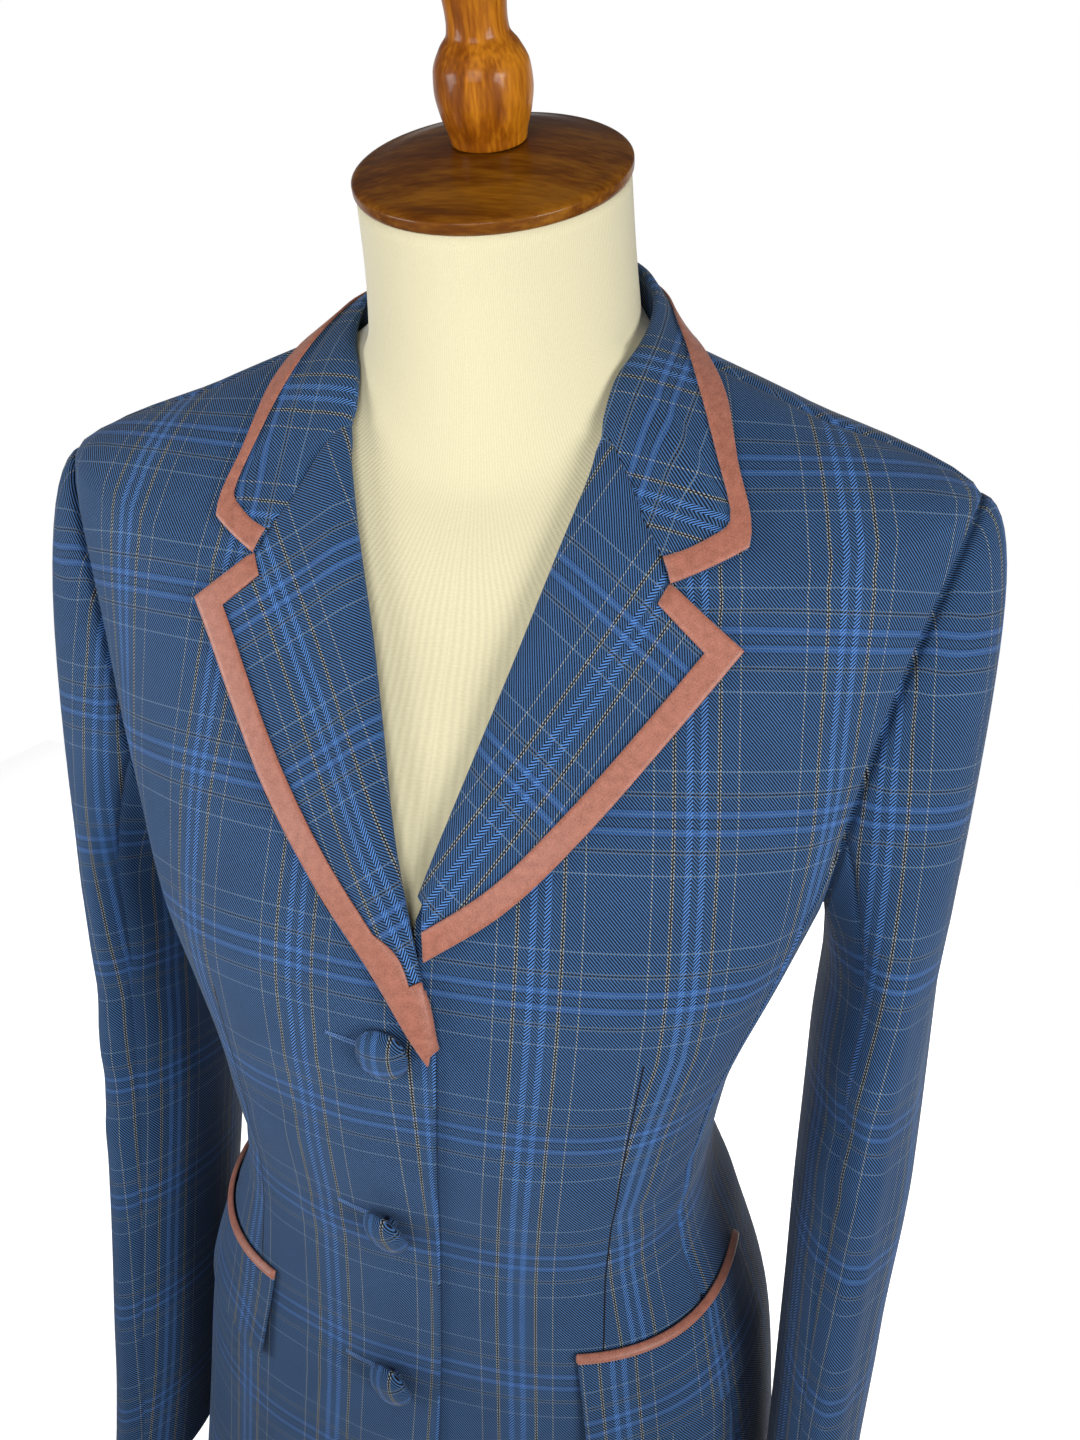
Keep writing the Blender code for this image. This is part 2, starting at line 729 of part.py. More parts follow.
def lapel_shares(foot, edge, gorge_columns, tip_columns):
    """Where the columns cross each row: one reaches the notch, the last but one edges the trim."""
    across = edge - foot
    length = np.linalg.norm(across, axis=-1)
    tangent = unit(np.gradient(edge, axis=0))
    slant = np.abs(across[:, 0] * tangent[:, 1] - across[:, 1] * tangent[:, 0]) / length
    inner, first = inner_and_first(length, slant)
    at_notch = (notch_share(foot[-1], edge[-1]) - first[-1]) / (inner[-1] - first[-1])
    part = np.concatenate([
        np.linspace(0.0, at_notch, gorge_columns + 1),
        np.linspace(at_notch, 1.0, tip_columns + 1)[1:],
    ])
    shares = mix(first[:, None], inner[:, None], part[None, :])
    return np.concatenate([shares, np.ones((len(foot), 1))], axis=1), length


def lapel(side, rows, gorge_columns, tip_columns):
    """A lapel's outer points: its rows climb the roll line, its columns cross to the outer edge."""
    edge, climb = lapel_rows(side, rows)
    foot_z = mix(LAPEL_FOOT_Z[side], GORGE_Z, climb)
    foot_place = np.stack([roll_x(foot_z) + ROLL_SETBACK, foot_z], axis=-1)
    shares, length = lapel_shares(foot_place, edge, gorge_columns, tip_columns)
    place = mix(foot_place[:, None], edge[:, None], shares[..., None])
    bend = gorge_line(foot_place[-1], edge[-1], shares[-1]) - place[-1]
    place = place + (climb ** GORGE_BEND_POWER)[:, None, None] * bend
    u, v = front_view(place[..., 0], place[..., 1])
    foot_u, foot_v = front_view(foot_place[:, 0], foot_z)
    foot = panel_point(side, foot_u, foot_v)
    out = body_normal(foot_u, foot_v)
    past = unit(np.cross(out, np.gradient(foot, axis=0)))
    fold_past, fold_out = fold_points(np.full(len(climb), ROLL_SETBACK))
    fold = foot[:, None] + past[:, None] * fold_past[..., None] + out[:, None] * fold_out[..., None]
    height = lapel_height(shares * length[:, None])
    fall = panel_point(side, u, v) + body_normal(u, v) * height[..., None]
    points = np.concatenate([fold, fall], axis=1)
    sewn = slice(0, fold.shape[1] + gorge_columns + 1)
    points[-1, sewn] += unit(points[-2, sewn] - points[-1, sewn]) * SEAM / 2.0
    return points, -grid_normals(points)


def collar_seam(along):
    """Turn and row where the collar joins the coat: round the neckline, then down the roll line."""
    corner_u = float(front_edge(np.array([float(TOP)]))[0])
    corner_z = float(body(corner_u, TOP)[2])
    neck_u = mix(CENTRE_BACK, corner_u, np.clip(along / NECK_CORNER_ALONG, 0.0, 1.0))
    down = np.clip((along - NECK_CORNER_ALONG) / (1.0 - NECK_CORNER_ALONG), 0.0, 1.0)
    roll_u, roll_v = roll_edge(mix(corner_z, GORGE_Z, down))
    on_roll = along > NECK_CORNER_ALONG
    return np.where(on_roll, roll_u, neck_u), np.where(on_roll, roll_v, float(TOP))


def collar_edge(along):
    """Stand height, and turn and row of the outer edge: a curve to the tip, then straight."""
    knots = np.array([row.along for row in COLLARS])
    places = np.array([row[1:] for row in COLLARS], float)
    notch = np.array([ROLL_SETBACK, *front_view(np.array(NOTCH_X), np.array(NOTCH_Z))])
    curve = smooth_through(knots, places, along)
    down = np.clip((along - COLLAR_TIP_ALONG) / (1.0 - COLLAR_TIP_ALONG), 0.0, 1.0)
    straight = mix(places[-1], notch, down[:, None])
    return np.where((along > COLLAR_TIP_ALONG)[:, None], straight, curve).T


def half_collar(back_rows, tip_rows, columns):
    """The wearer's left half, from the centre back to the gorge seam."""
    back = np.linspace(0.0, COLLAR_TIP_ALONG, back_rows + 1)
    along = np.concatenate([back, np.linspace(COLLAR_TIP_ALONG, 1.0, tip_rows + 1)[1:]])
    foot_u, foot_v = collar_seam(along)
    stand, edge_u, edge_v = collar_edge(along)
    foot = body(foot_u, foot_v)
    edge = body(edge_u, edge_v)
    normal = body_normal(foot_u, foot_v)
    edge_normal = body_normal(edge_u, edge_v)
    in_surface = unit(np.cross(np.gradient(foot, axis=0), normal))
    upright = 1.0 - soft_step(UPRIGHT_TO, 1.0, along)[:, None]
    climb = unit(np.array([0.0, 0.0, 1.0]) - normal * np.array([1.0, 1.0, 0.0]) * COLLAR_LEAN)
    past = unit(mix(in_surface, climb, upright))
    out = unit(normal - past * np.sum(normal * past, axis=-1, keepdims=True))
    fold_past, fold_out = fold_points(stand)
    fold = foot[:, None] + past[:, None] * fold_past[..., None] + out[:, None] * fold_out[..., None]
    shares, length = row_shares(foot, edge, edge_tangents(edge, back_rows), columns)
    lying = collar_lying(foot_u, foot_v, edge_u, edge_v, shares, length)
    falling = collar_falling(fold[:, -1], past, out, edge + edge_normal * (COLLAR_REST + LAPEL_CLOTH),
                             unit(edge - body(mix(foot_u, edge_u, 0.9), mix(foot_v, edge_v, 0.9))), shares)
    loose = 1.0 - soft_step(LOOSE_TO, 1.0, along)
    points = np.concatenate([fold, mix(lying, falling, loose[:, None, None])], axis=1)
    points[-1] += unit(points[-2] - points[-1]) * SEAM / 2.0
    return points


def collar_lying(foot_u, foot_v, edge_u, edge_v, shares, length):
    """The collar where it lies on the front, as a lapel does."""
    u = mix(foot_u[:, None], edge_u[:, None], shares)
    v = mix(foot_v[:, None], edge_v[:, None], shares)
    return body(u, v) + body_normal(u, v) * lapel_height(shares * length[:, None])[..., None]


def collar_falling(top, past, out, edge, along_edge, shares):
    """The collar where it falls from its fold to its outer edge, a cubic curve in each row."""
    reach = np.linalg.norm(edge - top, axis=-1)[:, None]
    near_top = top + (out * COLLAR_OUT - past * COLLAR_DOWN) * reach * COLLAR_TOP_PULL
    near_edge = edge - along_edge * reach * COLLAR_EDGE_PULL
    t = shares[..., None]
    return (
        top[:, None] * (1.0 - t) ** 3
        + near_top[:, None] * 3.0 * t * (1.0 - t) ** 2
        + near_edge[:, None] * 3.0 * t ** 2 * (1.0 - t)
        + edge[:, None] * t ** 3
    )


def collar(back_rows, tip_rows, columns):
    left = half_collar(back_rows, tip_rows, columns)
    right = mirrored(left)[1:][::-1]
    points = np.concatenate([right, left])
    return points, grid_normals(points)


def mirrored(points):
    return points * np.array([-1.0, 1.0, 1.0])


def turned(points):
    """The finished points, with the shoulders turned about an upright axis."""
    angle = math.radians(SHOULDER_TURN) * soft_step(TURN_FROM_Z, TURN_TO_Z, points[..., 2])
    x = points[..., 0]
    y = points[..., 1] - TURN_AXIS_Y
    across = x * np.cos(angle) - y * np.sin(angle)
    along = x * np.sin(angle) + y * np.cos(angle)
    return np.stack([across, along + TURN_AXIS_Y, points[..., 2]], axis=-1)


def row_at_height(z):
    rows = np.linspace(0.0, 7.0, 400)
    return np.interp(z, table_at(SECTIONS, rows)[1], rows)


def pocket_flap(rows, columns):
    share = np.linspace(0.0, 1.0, columns + 1)[None, :]
    drop = np.linspace(0.0, 1.0, rows + 1)[:, None]
    u = np.broadcast_to(mix(POCKET_FRONT, POCKET_BACK, share), (rows + 1, columns + 1))
    v = np.broadcast_to(row_at_height(POCKET_Z - SEAM / 2.0 - FLAP_HEIGHT * drop), u.shape)
    gape = FLAP_GAPE * drop * np.exp(-(share / FLAP_GAPE_WIDTH) ** 2)
    normal = body_normal(u, v)
    points = body(u, v) + normal * (FLAP_OFF + LAPEL_CLOTH + gape)[..., None]
    return points, normal


def pocket_piping(rows, columns):
    """A rounded band over the flap, as its outer and its inner points."""
    share = np.linspace(0.0, 1.0, columns + 1)[None, :]
    rise = np.linspace(0.0, 1.0, rows + 1)[:, None]
    u = np.broadcast_to(mix(POCKET_FRONT, POCKET_BACK, share), (rows + 1, columns + 1))
    v = np.broadcast_to(row_at_height(POCKET_Z + SEAM / 2.0 + PIPING_HEIGHT * rise), u.shape)
    normal = body_normal(u, v)
    inner = body(u, v) + normal * FLAP_OFF
    height = PIPING_EDGE + PIPING_FULLNESS * np.sin(rise * math.pi)
    return inner + normal * height[..., None], inner


def form_rings(columns):
    """Rings of the dress form: the coat's surface moved in, then the neck."""
    turn = np.arange(columns) / columns
    lower = np.linspace(float(row_at_height(FORM_BOTTOM_Z)), TIP, FORM_ROWS + 1)
    rows = np.concatenate([lower[:-1], shoulder_rows()])
    rings = []
    for row in rows:
        v = np.full(columns, row)
        front, side, back = table_at(EASES, v)
        ahead = np.cos(turn * 2.0 * math.pi)
        ease = side + np.where(ahead > 0.0, front - side, back - side) * ahead ** 2
        rings.append(body(turn, v) - body_normal(turn, v) * (CLOTH + ease)[:, None])
    rings[0][:, 2] = FORM_BOTTOM_Z
    return rings + [neck_ring(row, turn) for row in NECKS]


def neck_ring(neck, turn):
    """A circle square to the neck's own leaning axis."""
    tilt = math.radians(NECK_TILT)
    axis = np.array([0.0, -math.sin(tilt), math.cos(tilt)])
    ahead = np.array([0.0, -math.cos(tilt), -math.sin(tilt)])
    centre = np.array(NECK_TOP) - axis * neck.below_top + ahead * -neck.back
    angle = turn * 2.0 * math.pi
    across = np.stack([np.sin(angle), np.zeros_like(angle), np.zeros_like(angle)], axis=-1)
    return centre + (across + np.cos(angle)[:, None] * ahead) * neck.radius


def material(name):
    made = bpy.data.materials.get(name)
    if made:
        return made
    made = bpy.data.materials.new(name)
    made.use_nodes = True
    shader = made.node_tree.nodes["Principled BSDF"]
    finish = FINISHES[name]
    shader.inputs["Base Color"].default_value = (*finish.colour, 1.0)
    shader.inputs["Roughness"].default_value = finish.roughness
    shader.inputs["Metallic"].default_value = finish.metallic
    return made


def add_object(name, shape, finish):
    """A named object from a closed bmesh, faces turned out and shaded smooth."""
    if shape.calc_volume(signed=True) < 0.0:
        bmesh.ops.reverse_faces(shape, faces=shape.faces[:])
    mesh = bpy.data.meshes.new(name)
    shape.to_mesh(mesh)
    shape.free()
    mesh.shade_smooth()
    mesh.set_sharp_from_angle(angle=math.radians(40.0))
    mesh.materials.append(material(finish))
    made = bpy.data.objects.new(name, mesh)
    bpy.context.collection.objects.link(made)
    return made


def add_wall(name, outer, inner, finish, cells=None):
    """A closed wall between two grids of points that face each other, or some cells of it."""
    shape = bmesh.new()
    if cells is None:
        cells = [(i, j) for i in range(outer.shape[0] - 1) for j in range(outer.shape[1] - 1)]
    loops = [[(i, j), (i, j + 1), (i + 1, j + 1), (i + 1, j)] for i, j in cells]
    places = sorted({place for loop in loops for place in loop})
    front, behind = [
        {place: shape.verts.new(grid[place] * MM) for place in places}
        for grid in (turned(outer), turned(inner))
    ]
    for a, b, c, d in loops:
        for corners in ((a, b, c), (a, c, d)):
            shape.faces.new([front[place] for place in corners])
            shape.faces.new([behind[place] for place in reversed(corners)])
    edges = {(first, second) for loop in loops for first, second in zip(loop, loop[1:] + loop[:1])}
    for first, second in sorted(edges):
        if (second, first) not in edges:
            rim = [front[second], front[first], behind[first], behind[second]]
            if first < second:
                rim = rim[1:] + rim[:1]
            shape.faces.new(rim[:3])
            shape.faces.new((rim[0], rim[2], rim[3]))
    return add_object(name, shape, finish)


def add_cloth(name, points, normals, thickness, finish, side="left", cells=None):
    """A cloth wall under its outer points, on the wearer's left or mirrored to the right."""
    inner = points - normals * thickness
    if side == "right":
        points = mirrored(points)
        inner = mirrored(inner)
    return add_wall(name, points, inner, finish, cells)


def add_trim(name, points, normals, top_from, side="left"):
    """A piece's last column of cells, and its last row from a column on, moved out."""
    rows, columns = points.shape[:2]
    cells = [(i, columns - 2) for i in range(rows - 1)]
    cells += [(rows - 2, j) for j in range(top_from, columns - 2)]
    add_cloth(name, points + normals * (SEAM + SATIN), normals, SATIN, "satin", side, cells)


def add_turned(name, profile, steps, finish):
    """A turned solid: its profile of (radius, height) runs down the outer side."""
    shape = bmesh.new()
    verts = [shape.verts.new((radius * MM, 0.0, height * MM)) for radius, height in profile]
    for first, second in zip(verts[:-1], verts[1:]):
        shape.edges.new((first, second))
    mesh = bpy.data.meshes.new(name)
    shape.to_mesh(mesh)
    shape.free()
    mesh.materials.append(material(finish))
    made = bpy.data.objects.new(name, mesh)
    bpy.context.collection.objects.link(made)
    turn = made.modifiers.new("turn", "SCREW")
    turn.steps = steps
    turn.render_steps = steps
    turn.use_merge_vertices = True
    turn.merge_threshold = 0.00001
    turn.use_smooth_shade = True
    return made


def add_coat_panels():
    for side in SIDES:
        points, normals = front_panel(side, FRONT_COLUMNS)
        add_cloth("front_" + side, points, normals, CLOTH, "plaid_wool", side)
        points, normals = back_panel(BACK_COLUMNS)
        add_cloth("back_" + side, points, normals, CLOTH, "plaid_wool", side)
        points, normals = side_panel()
        add_cloth("side_" + side, points, normals, CLOTH, "plaid_wool", side)


def add_sleeves():
    for side in SIDES:
        top, under = sleeve_pieces()
        add_cloth("top_sleeve_" + side, *top, CLOTH, "plaid_wool", side)
        add_cloth("under_sleeve_" + side, *under, CLOTH, "plaid_wool", side)


def add_lapels_and_collar():
    for side in SIDES:
        points, normals = lapel(side, LAPEL_ROWS, GORGE_COLUMNS, TIP_COLUMNS)
        add_cloth("lapel_" + side, points, normals, LAPEL_CLOTH, "plaid_wool", side)
        add_trim("lapel_trim_" + side, points, normals, points.shape[1] - 2 - TIP_COLUMNS, side)
    points, normals = collar(COLLAR_ROWS, COLLAR_TIP_ROWS, COLLAR_COLUMNS)
    add_cloth("collar", points, normals, LAPEL_CLOTH, "plaid_wool")
    add_trim("collar_trim", points, normals, points.shape[1])


def add_pockets():
    for side in SIDES:
        points, normals = pocket_flap(FLAP_ROWS, POCKET_COLUMNS)
        add_cloth("pocket_flap_" + side, points, normals, LAPEL_CLOTH, "plaid_wool", side)
        outer, inner = pocket_piping(PIPING_ROWS, POCKET_COLUMNS)
        if side == "right":
            outer = mirrored(outer)
            inner = mirrored(inner)
        add_wall("pocket_piping_" + side, outer, inner, "satin")


def add_form():
    shape = bmesh.new()
    rings = [[shape.verts.new(point * MM) for point in turned(ring)] for ring in form_rings(FORM_COLUMNS)]
    for low, high in zip(rings[:-1], rings[1:]):
        for i, vert in enumerate(low):
            j = (i + 1) % len(low)
            shape.faces.new((vert, low[j], high[j], high[i]))
    shape.faces.new(rings[0][::-1])
    shape.faces.new(rings[-1])
    add_object("form_torso", shape, "jersey")


def lean(direction):
    """The rotation that turns +Z to a direction."""
    return Vector((0.0, 0.0, 1.0)).rotation_difference(Vector(direction)).to_euler()


def add_buttons():
    for number, button in enumerate(BUTTONS):
        z = BUTTON_TOP_Z - number * BUTTON_SPACING
        u, v = front_view(np.array(-BUTTON_X), np.array(z))
        out = mirrored(body_normal(u, v))
        place = turned(mirrored(panel_point(UPPER_FRONT, u, v)))
        tilt = math.radians(button.tilt)
        aside = unit(np.array([-1.0, 0.0, -1.0]))
        aside = unit(aside - out * np.dot(aside, out))
        axis = out * math.cos(tilt) + aside * math.sin(tilt)
        off = BUTTON_RADIUS * math.sin(tilt) + SEAM
        shank = off - SHANK_RADIUS * math.sin(tilt) - SEAM
        made = add_turned("button_" + str(number + 1), button_profile(shank), BUTTON_STEPS, "plaid_wool")
        made.location = (place + out * (off - BUTTON_SINK)) * MM
        made.rotation_euler = lean(axis)


def button_profile(shank):
    """A domed cloth-covered button with its flat back, and the shank it is sewn on by."""
    dome = [(0.0, 1.0), (0.42, 0.93), (0.75, 0.70), (0.95, 0.36), (1.0, 0.17), (0.93, 0.0)]
    profile = [(radius * BUTTON_RADIUS, height * BUTTON_HEIGHT) for radius, height in dome]
    return profile + [(SHANK_RADIUS, 0.0), (SHANK_RADIUS, -shank), (0.0, -shank)]


def add_neck_cap_and_finial():
    tilt = math.radians(NECK_TILT)
    axis = np.array([0.0, -math.sin(tilt), math.cos(tilt)])
    cap = add_turned("neck_cap", CAP_PROFILE, CAP_STEPS, "stained_wood")
    finial = add_turned("finial", FINIAL_PROFILE, STAND_STEPS, "stained_wood")
    for made, height in ((cap, SEAM), (finial, CAP_PROFILE[0][1] + 2.0 * SEAM)):
        made.location = turned(np.array(NECK_TOP) + axis * height) * MM
        made.rotation_euler = (tilt, 0.0, math.radians(SHOULDER_TURN))


def add_stand():
    pole_length = FORM_BOTTOM_Z - BASE_HEIGHT - 2.0 * SEAM
    profile = [(0.0, pole_length), (POLE_RADIUS, pole_length), (POLE_RADIUS, 0.0), (0.0, 0.0)]
    pole = add_turned("pole", profile, STAND_STEPS, "stained_wood")
    pole.location = (0.0, 0.0, (BASE_HEIGHT + SEAM) * MM)
    add_turned("base", BASE_PROFILE, BASE_STEPS, "stained_wood")


def main():
    clear_scene()
    add_coat_panels()
    add_sleeves()
    add_lapels_and_collar()
    add_pockets()
    add_buttons()
    add_form()
    add_neck_cap_and_finial()
    add_stand()


main()
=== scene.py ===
"""The plaid riding show coat on its dress form, as the photograph shows it.

Every cloth piece is made again from the same sizes as its solid, more finely, with its
folds placed one by one. Each piece is also laid out flat, and the plaid is woven on that
flat cut. Sizes are in millimetres and become metres as the meshes are made. The front
faces -Y, +Z is up and the wearer's left is +X.
"""

import math
from collections import namedtuple

import bpy
import numpy as np
from mathutils import Matrix, Vector

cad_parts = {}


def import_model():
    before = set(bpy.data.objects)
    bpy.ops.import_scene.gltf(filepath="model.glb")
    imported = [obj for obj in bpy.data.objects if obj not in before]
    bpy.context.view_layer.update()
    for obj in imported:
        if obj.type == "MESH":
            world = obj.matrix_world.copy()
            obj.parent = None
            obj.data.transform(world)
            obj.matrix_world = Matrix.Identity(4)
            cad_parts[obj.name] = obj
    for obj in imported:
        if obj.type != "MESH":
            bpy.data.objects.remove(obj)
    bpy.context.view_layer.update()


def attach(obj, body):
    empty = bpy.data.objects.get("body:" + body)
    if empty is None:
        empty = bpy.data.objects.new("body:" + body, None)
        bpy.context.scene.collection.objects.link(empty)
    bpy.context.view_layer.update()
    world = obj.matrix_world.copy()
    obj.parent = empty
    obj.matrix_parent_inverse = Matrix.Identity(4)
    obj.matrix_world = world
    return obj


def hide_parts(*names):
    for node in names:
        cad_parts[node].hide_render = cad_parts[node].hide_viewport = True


MM = 0.001

# Cloth
CLOTH = 2.0
LAPEL_CLOTH = 1.5
SATIN = 1.0
SEAM = 0.3
REST = 0.7
SEAM_DROP = 1.3          # a sewn edge sinks this far, over the next width
SEAM_ROLL = 1.8
ARM_DROP = 2.0
GORGE_DROP = 0.95
RIM_BULGE = 0.35         # a cut edge is rounded by this share of its wall

# Front closure
OVERLAP = 14.0
OVERLAP_LIFT = 3.0
LIFT_NEAR = 16.0
LIFT_FAR = 64.0
LIFT_LOW_Z = 1250.0
LIFT_HIGH_Z = 1310.0
ROLL_BREAK_Z = 1185.0
GORGE_X = 53.0
GORGE_Z = 1405.0
ROLL_SETBACK = 3.5

# Seams, as turns round the body
FRONT_SEAM = 0.187
BACK_SEAM = 0.320
SIDE = 0.25
CENTRE_BACK = 0.5
SHOULDER_FORWARD = 0.03
SHOULDER_FORWARD_ROWS = 0.8
TIP_DROP = 4.5           # the shoulder slopes off to its tip
TIP_DROP_TURN = 0.07
TIP_DROP_ROWS = 0.45
TIP_DROP_ABOVE = 0.2     # rows above the tip, where it is deepest

# Armhole and sleeve head
ARM_MIDDLE = 7.70
ARM_REACH = 1.30
ARM_FRONT = 0.070
ARM_BACK = 0.085
ARM_ROUND = 0.4
CAP_LEAVE = 0.40
CAP_ARRIVE = 0.75
CAP_FORWARD = 0.35
CAP_DROP_TOP = 0.12
CAP_DROP_FOOT = 0.75
CAP_FLATTEN = 0.5
CAP_CREASE_RATE = 1.4    # creases come in this fast below the armhole

# Lapel and collar
FOLD_WALL = 1.4
FOLD_BACK = 0.8
FOLD_RISE = 1.8
FOLD_START = 0.5
ROLL_FULLNESS = 2.0
ROLL_CREST = 9.0
ROLL_SPREAD = 10.0
FIRST_COLUMN = 2.0
FIRST_COLUMN_MOST = 0.15
GORGE_BEND_POWER = 6.0
COLLAR_REST = 1.6
COLLAR_LEAN_BACK = 0.28
COLLAR_LEAN_SIDE = 0.75
COLLAR_LEAN_FROM = 0.12
COLLAR_LEAN_TO = 0.45
COLLAR_OUT = 0.40
COLLAR_DOWN = 0.60
COLLAR_TOP_PULL = 0.30
COLLAR_EDGE_PULL = 0.35
COLLAR_EDGE_BEFORE = 0.9

# Trim, pockets and buttons
TRIM_WIDTH = 10.5
TRIM_MOST = 0.7          # of a row, and the least sine at which it crosses one
TRIM_SINE_LEAST = 0.5
TRIM_CLOSE_FROM = 0.25   # down the upper lapel's edge its trim widens, until it takes in the fold
TRIM_CLOSE_TO = 0.135
TRIM_CLOSE_KEEP = 1.3
TRIM_CLOSE_FIRST = 0.5
FOOT_STAND = 2.0         # the upper lapel's fold, where it runs out on the front edge
FOOT_STAND_TO = 0.08
POCKET_Z = 1002.0
POCKET_FRONT = 0.076
POCKET_BACK = 0.243
FLAP_HEIGHT = 50.0
FLAP_OFF = 1.0
FLAP_GAPE = 3.0
FLAP_GAPE_WIDTH = 0.10
PIPING_HEIGHT = 5.4
PIPING_EDGE = 1.0
PIPING_FULLNESS = 1.8
BUTTON_X = -7.5
BUTTON_TOP_Z = 1171.0
BUTTON_SPACING = 96.0
BUTTON_RADIUS = 12.2
BUTTON_HEIGHT = 8.0
BUTTON_SINK = 0.5
SHANK_RADIUS = 2.5
BUTTON_DOME = [(0.0, 1.0), (0.42, 0.93), (0.75, 0.70), (0.95, 0.36), (1.0, 0.17), (0.93, 0.0)]
BUTTON_TWILL = 0.6
HOLE_LENGTH = 27.0       # a worked buttonhole, from the button's middle outward
HOLE_START = 3.0
HOLE_RISE = 3.0
HOLE_END = 1.04
HOLE_ROUND = 0.25
HOLE_HALF_GAP = 0.85
THREAD_RADIUS = 0.5

# Shoulders, form and stand
SHOULDER_TURN = 3.4
TURN_AXIS_Y = -70.0
TURN_FROM_Z = 1020.0
TURN_TO_Z = 1340.0
NECK_TILT = 28.0
NECK_TOP = (0.0, -21.0, 1512.5)
FORM_BOTTOM_Z = 790.0
FORM_GIRTH = 820.0
SOFT_FROM = 0.3          # the chest is eased into the neck in front, over some rings below and above
SOFT_TO = 0.98
SOFT_BELOW = 12
SOFT_ABOVE = 8
SOFT_STEPS = 20
BASE_RADIUS = 195.0
BASE_HEIGHT = 26.0
POLE_RADIUS = 17.0
POLE_EDGE = 0.6

Section = namedtuple("Section", "name z_front z_side z_back half_width front back side_y sq_front sq_back")
SECTIONS = [
    Section("hem", 735, 735, 735, 180, 152, 146, 0, 2.4, 2.3),
    Section("skirt", 840, 840, 840, 172, 142, 134, 0, 2.4, 2.3),
    Section("hip", 930, 930, 930, 162, 132, 120, -4, 2.5, 2.3),
    Section("high_hip", 1000, 1000, 1000, 140, 127, 104, -8, 2.7, 2.3),
    Section("waist", 1055, 1055, 1055, 122, 128, 90, -12, 2.8, 2.3),
    Section("ribs", 1115, 1115, 1115, 129, 134, 92, -14, 2.8, 2.3),
    Section("bust", 1185, 1185, 1185, 153, 137, 98, -14, 2.7, 2.3),
    Section("underarm", 1250, 1250, 1250, 178, 125, 106, -10, 2.4, 2.3),
    Section("chest", 1296, 1315, 1318, 197, 106, 110, -8, 2.2, 2.4),
    Section("tip", 1334, 1396, 1388, 212, 87, 106, -10, 2.0, 2.3),
    Section("shoulder", 1368, 1429, 1434, 136, 73, 88, -1, 2.0, 2.2),
    Section("neck", 1396, 1455, 1466, 72, 59, 62, 4, 2.0, 2.0),
]
TOP = len(SECTIONS) - 1
TIP = ARM_MIDDLE + ARM_REACH
HEM_ROW = 0.3
WAIST_ROW = 4
BREAK_ROW = 5.8
UNDERARM_ROW = 7.0

Ease = namedtuple("Ease", "name front side back")
EASES = [
    Ease("hem", 14, 16, 14),
    Ease("skirt", 12, 14, 12),
    Ease("hip", 10, 12, 10),
    Ease("high_hip", 9, 10, 9),
    Ease("waist", 8, 8, 8),
    Ease("ribs", 5, 7, 7),
    Ease("bust", 1.5, 6, 5),
    Ease("underarm", 2.0, 8, 4),
    Ease("chest", 3, 14, 3),
    Ease("tip", 4, 16, 2.5),
    Ease("shoulder", 4, 2.8, 2.0),
    Ease("neck", 4, 2.2, 1.5),
]

Neck = namedtuple("Neck", "name below_top back radius")
NECKS = [
    Neck("low", 58.0, -6.0, 60.5),
    Neck("middle", 30.0, -2.0, 58.0),
    Neck("top", 0.0, 0.0, 56.5),
]

Button = namedtuple("Button", "name tilt")
BUTTONS = [Button("upper", 7.0), Button("middle", 24.0), Button("lower", 24.0)]

# Turned profiles, as radius and height from the top down
CAP_PROFILE = [
    (0.0, 14.0),
    (17.0, 13.6),
    (36.0, 11.0),
    (50.0, 7.6),
    (55.5, 6.2),
    (57.6, 4.4),
    (57.6, 2.0),
    (56.4, 0.0),
    (0.0, 0.0),
]
FINIAL_PROFILE = [
    (0.0, 158.0),
    (5.0, 157.0),
    (10.0, 153.0),
    (14.0, 144.0),
    (15.0, 134.0),
    (12.5, 124.0),
    (8.0, 117.0),
    (7.5, 113.0),
    (11.0, 110.0),
    (11.0, 106.0),
    (9.0, 103.0),
    (14.5, 84.0),
    (14.8, 74.0),
    (13.0, 56.0),
    (11.6, 42.0),
    (12.0, 38.0),
    (15.5, 33.0),
    (18.8, 26.0),
    (19.4, 19.0),
    (18.2, 11.0),
    (16.0, 4.0),
    (15.0, 0.0),
    (0.0, 0.0),
]
BASE_PROFILE = [
    (0.0, BASE_HEIGHT),
    (BASE_RADIUS - 30.0, BASE_HEIGHT),
    (BASE_RADIUS - 12.0, BASE_HEIGHT - 4.0),
    (BASE_RADIUS - 2.0, BASE_HEIGHT - 12.0),
    (BASE_RADIUS, 6.0),
    (BASE_RADIUS, 0.0),
    (0.0, 0.0),
]

Sleeve = namedtuple("Sleeve", "name z middle_x middle_y half_x half_y squareness")
SLEEVES = [
    Sleeve("biceps", 1172, 194, -4, 27, 70, 1.9),
    Sleeve("upper_arm", 1130, 193, -8, 28, 69, 1.85),
    Sleeve("elbow", 1080, 193, -17, 28, 66, 1.8),
    Sleeve("forearm", 1000, 192, -29, 25, 62, 1.8),
    Sleeve("wrist", 890, 192, -46, 23, 58, 1.8),
    Sleeve("cuff", 790, 197, -58, 22, 55, 1.8),
]

# The sleeve's largest folds, as in its solid
Hollow = namedtuple("Hollow", "name turn z depth turn_width height")
SLEEVE_HOLLOWS = [
    Hollow("inner_elbow_upper", 0.30, 1118, 3.0, 0.10, 16),
    Hollow("inner_elbow_lower", 0.27, 1068, 2.5, 0.11, 18),
    Hollow("front_crease", 0.17, 1010, 2.5, 0.045, 150),
    Hollow("back_elbow", 0.66, 1085, 2.2, 0.09, 22),
    Hollow("underarm", 0.36, 1195, 2.5, 0.08, 24),
]

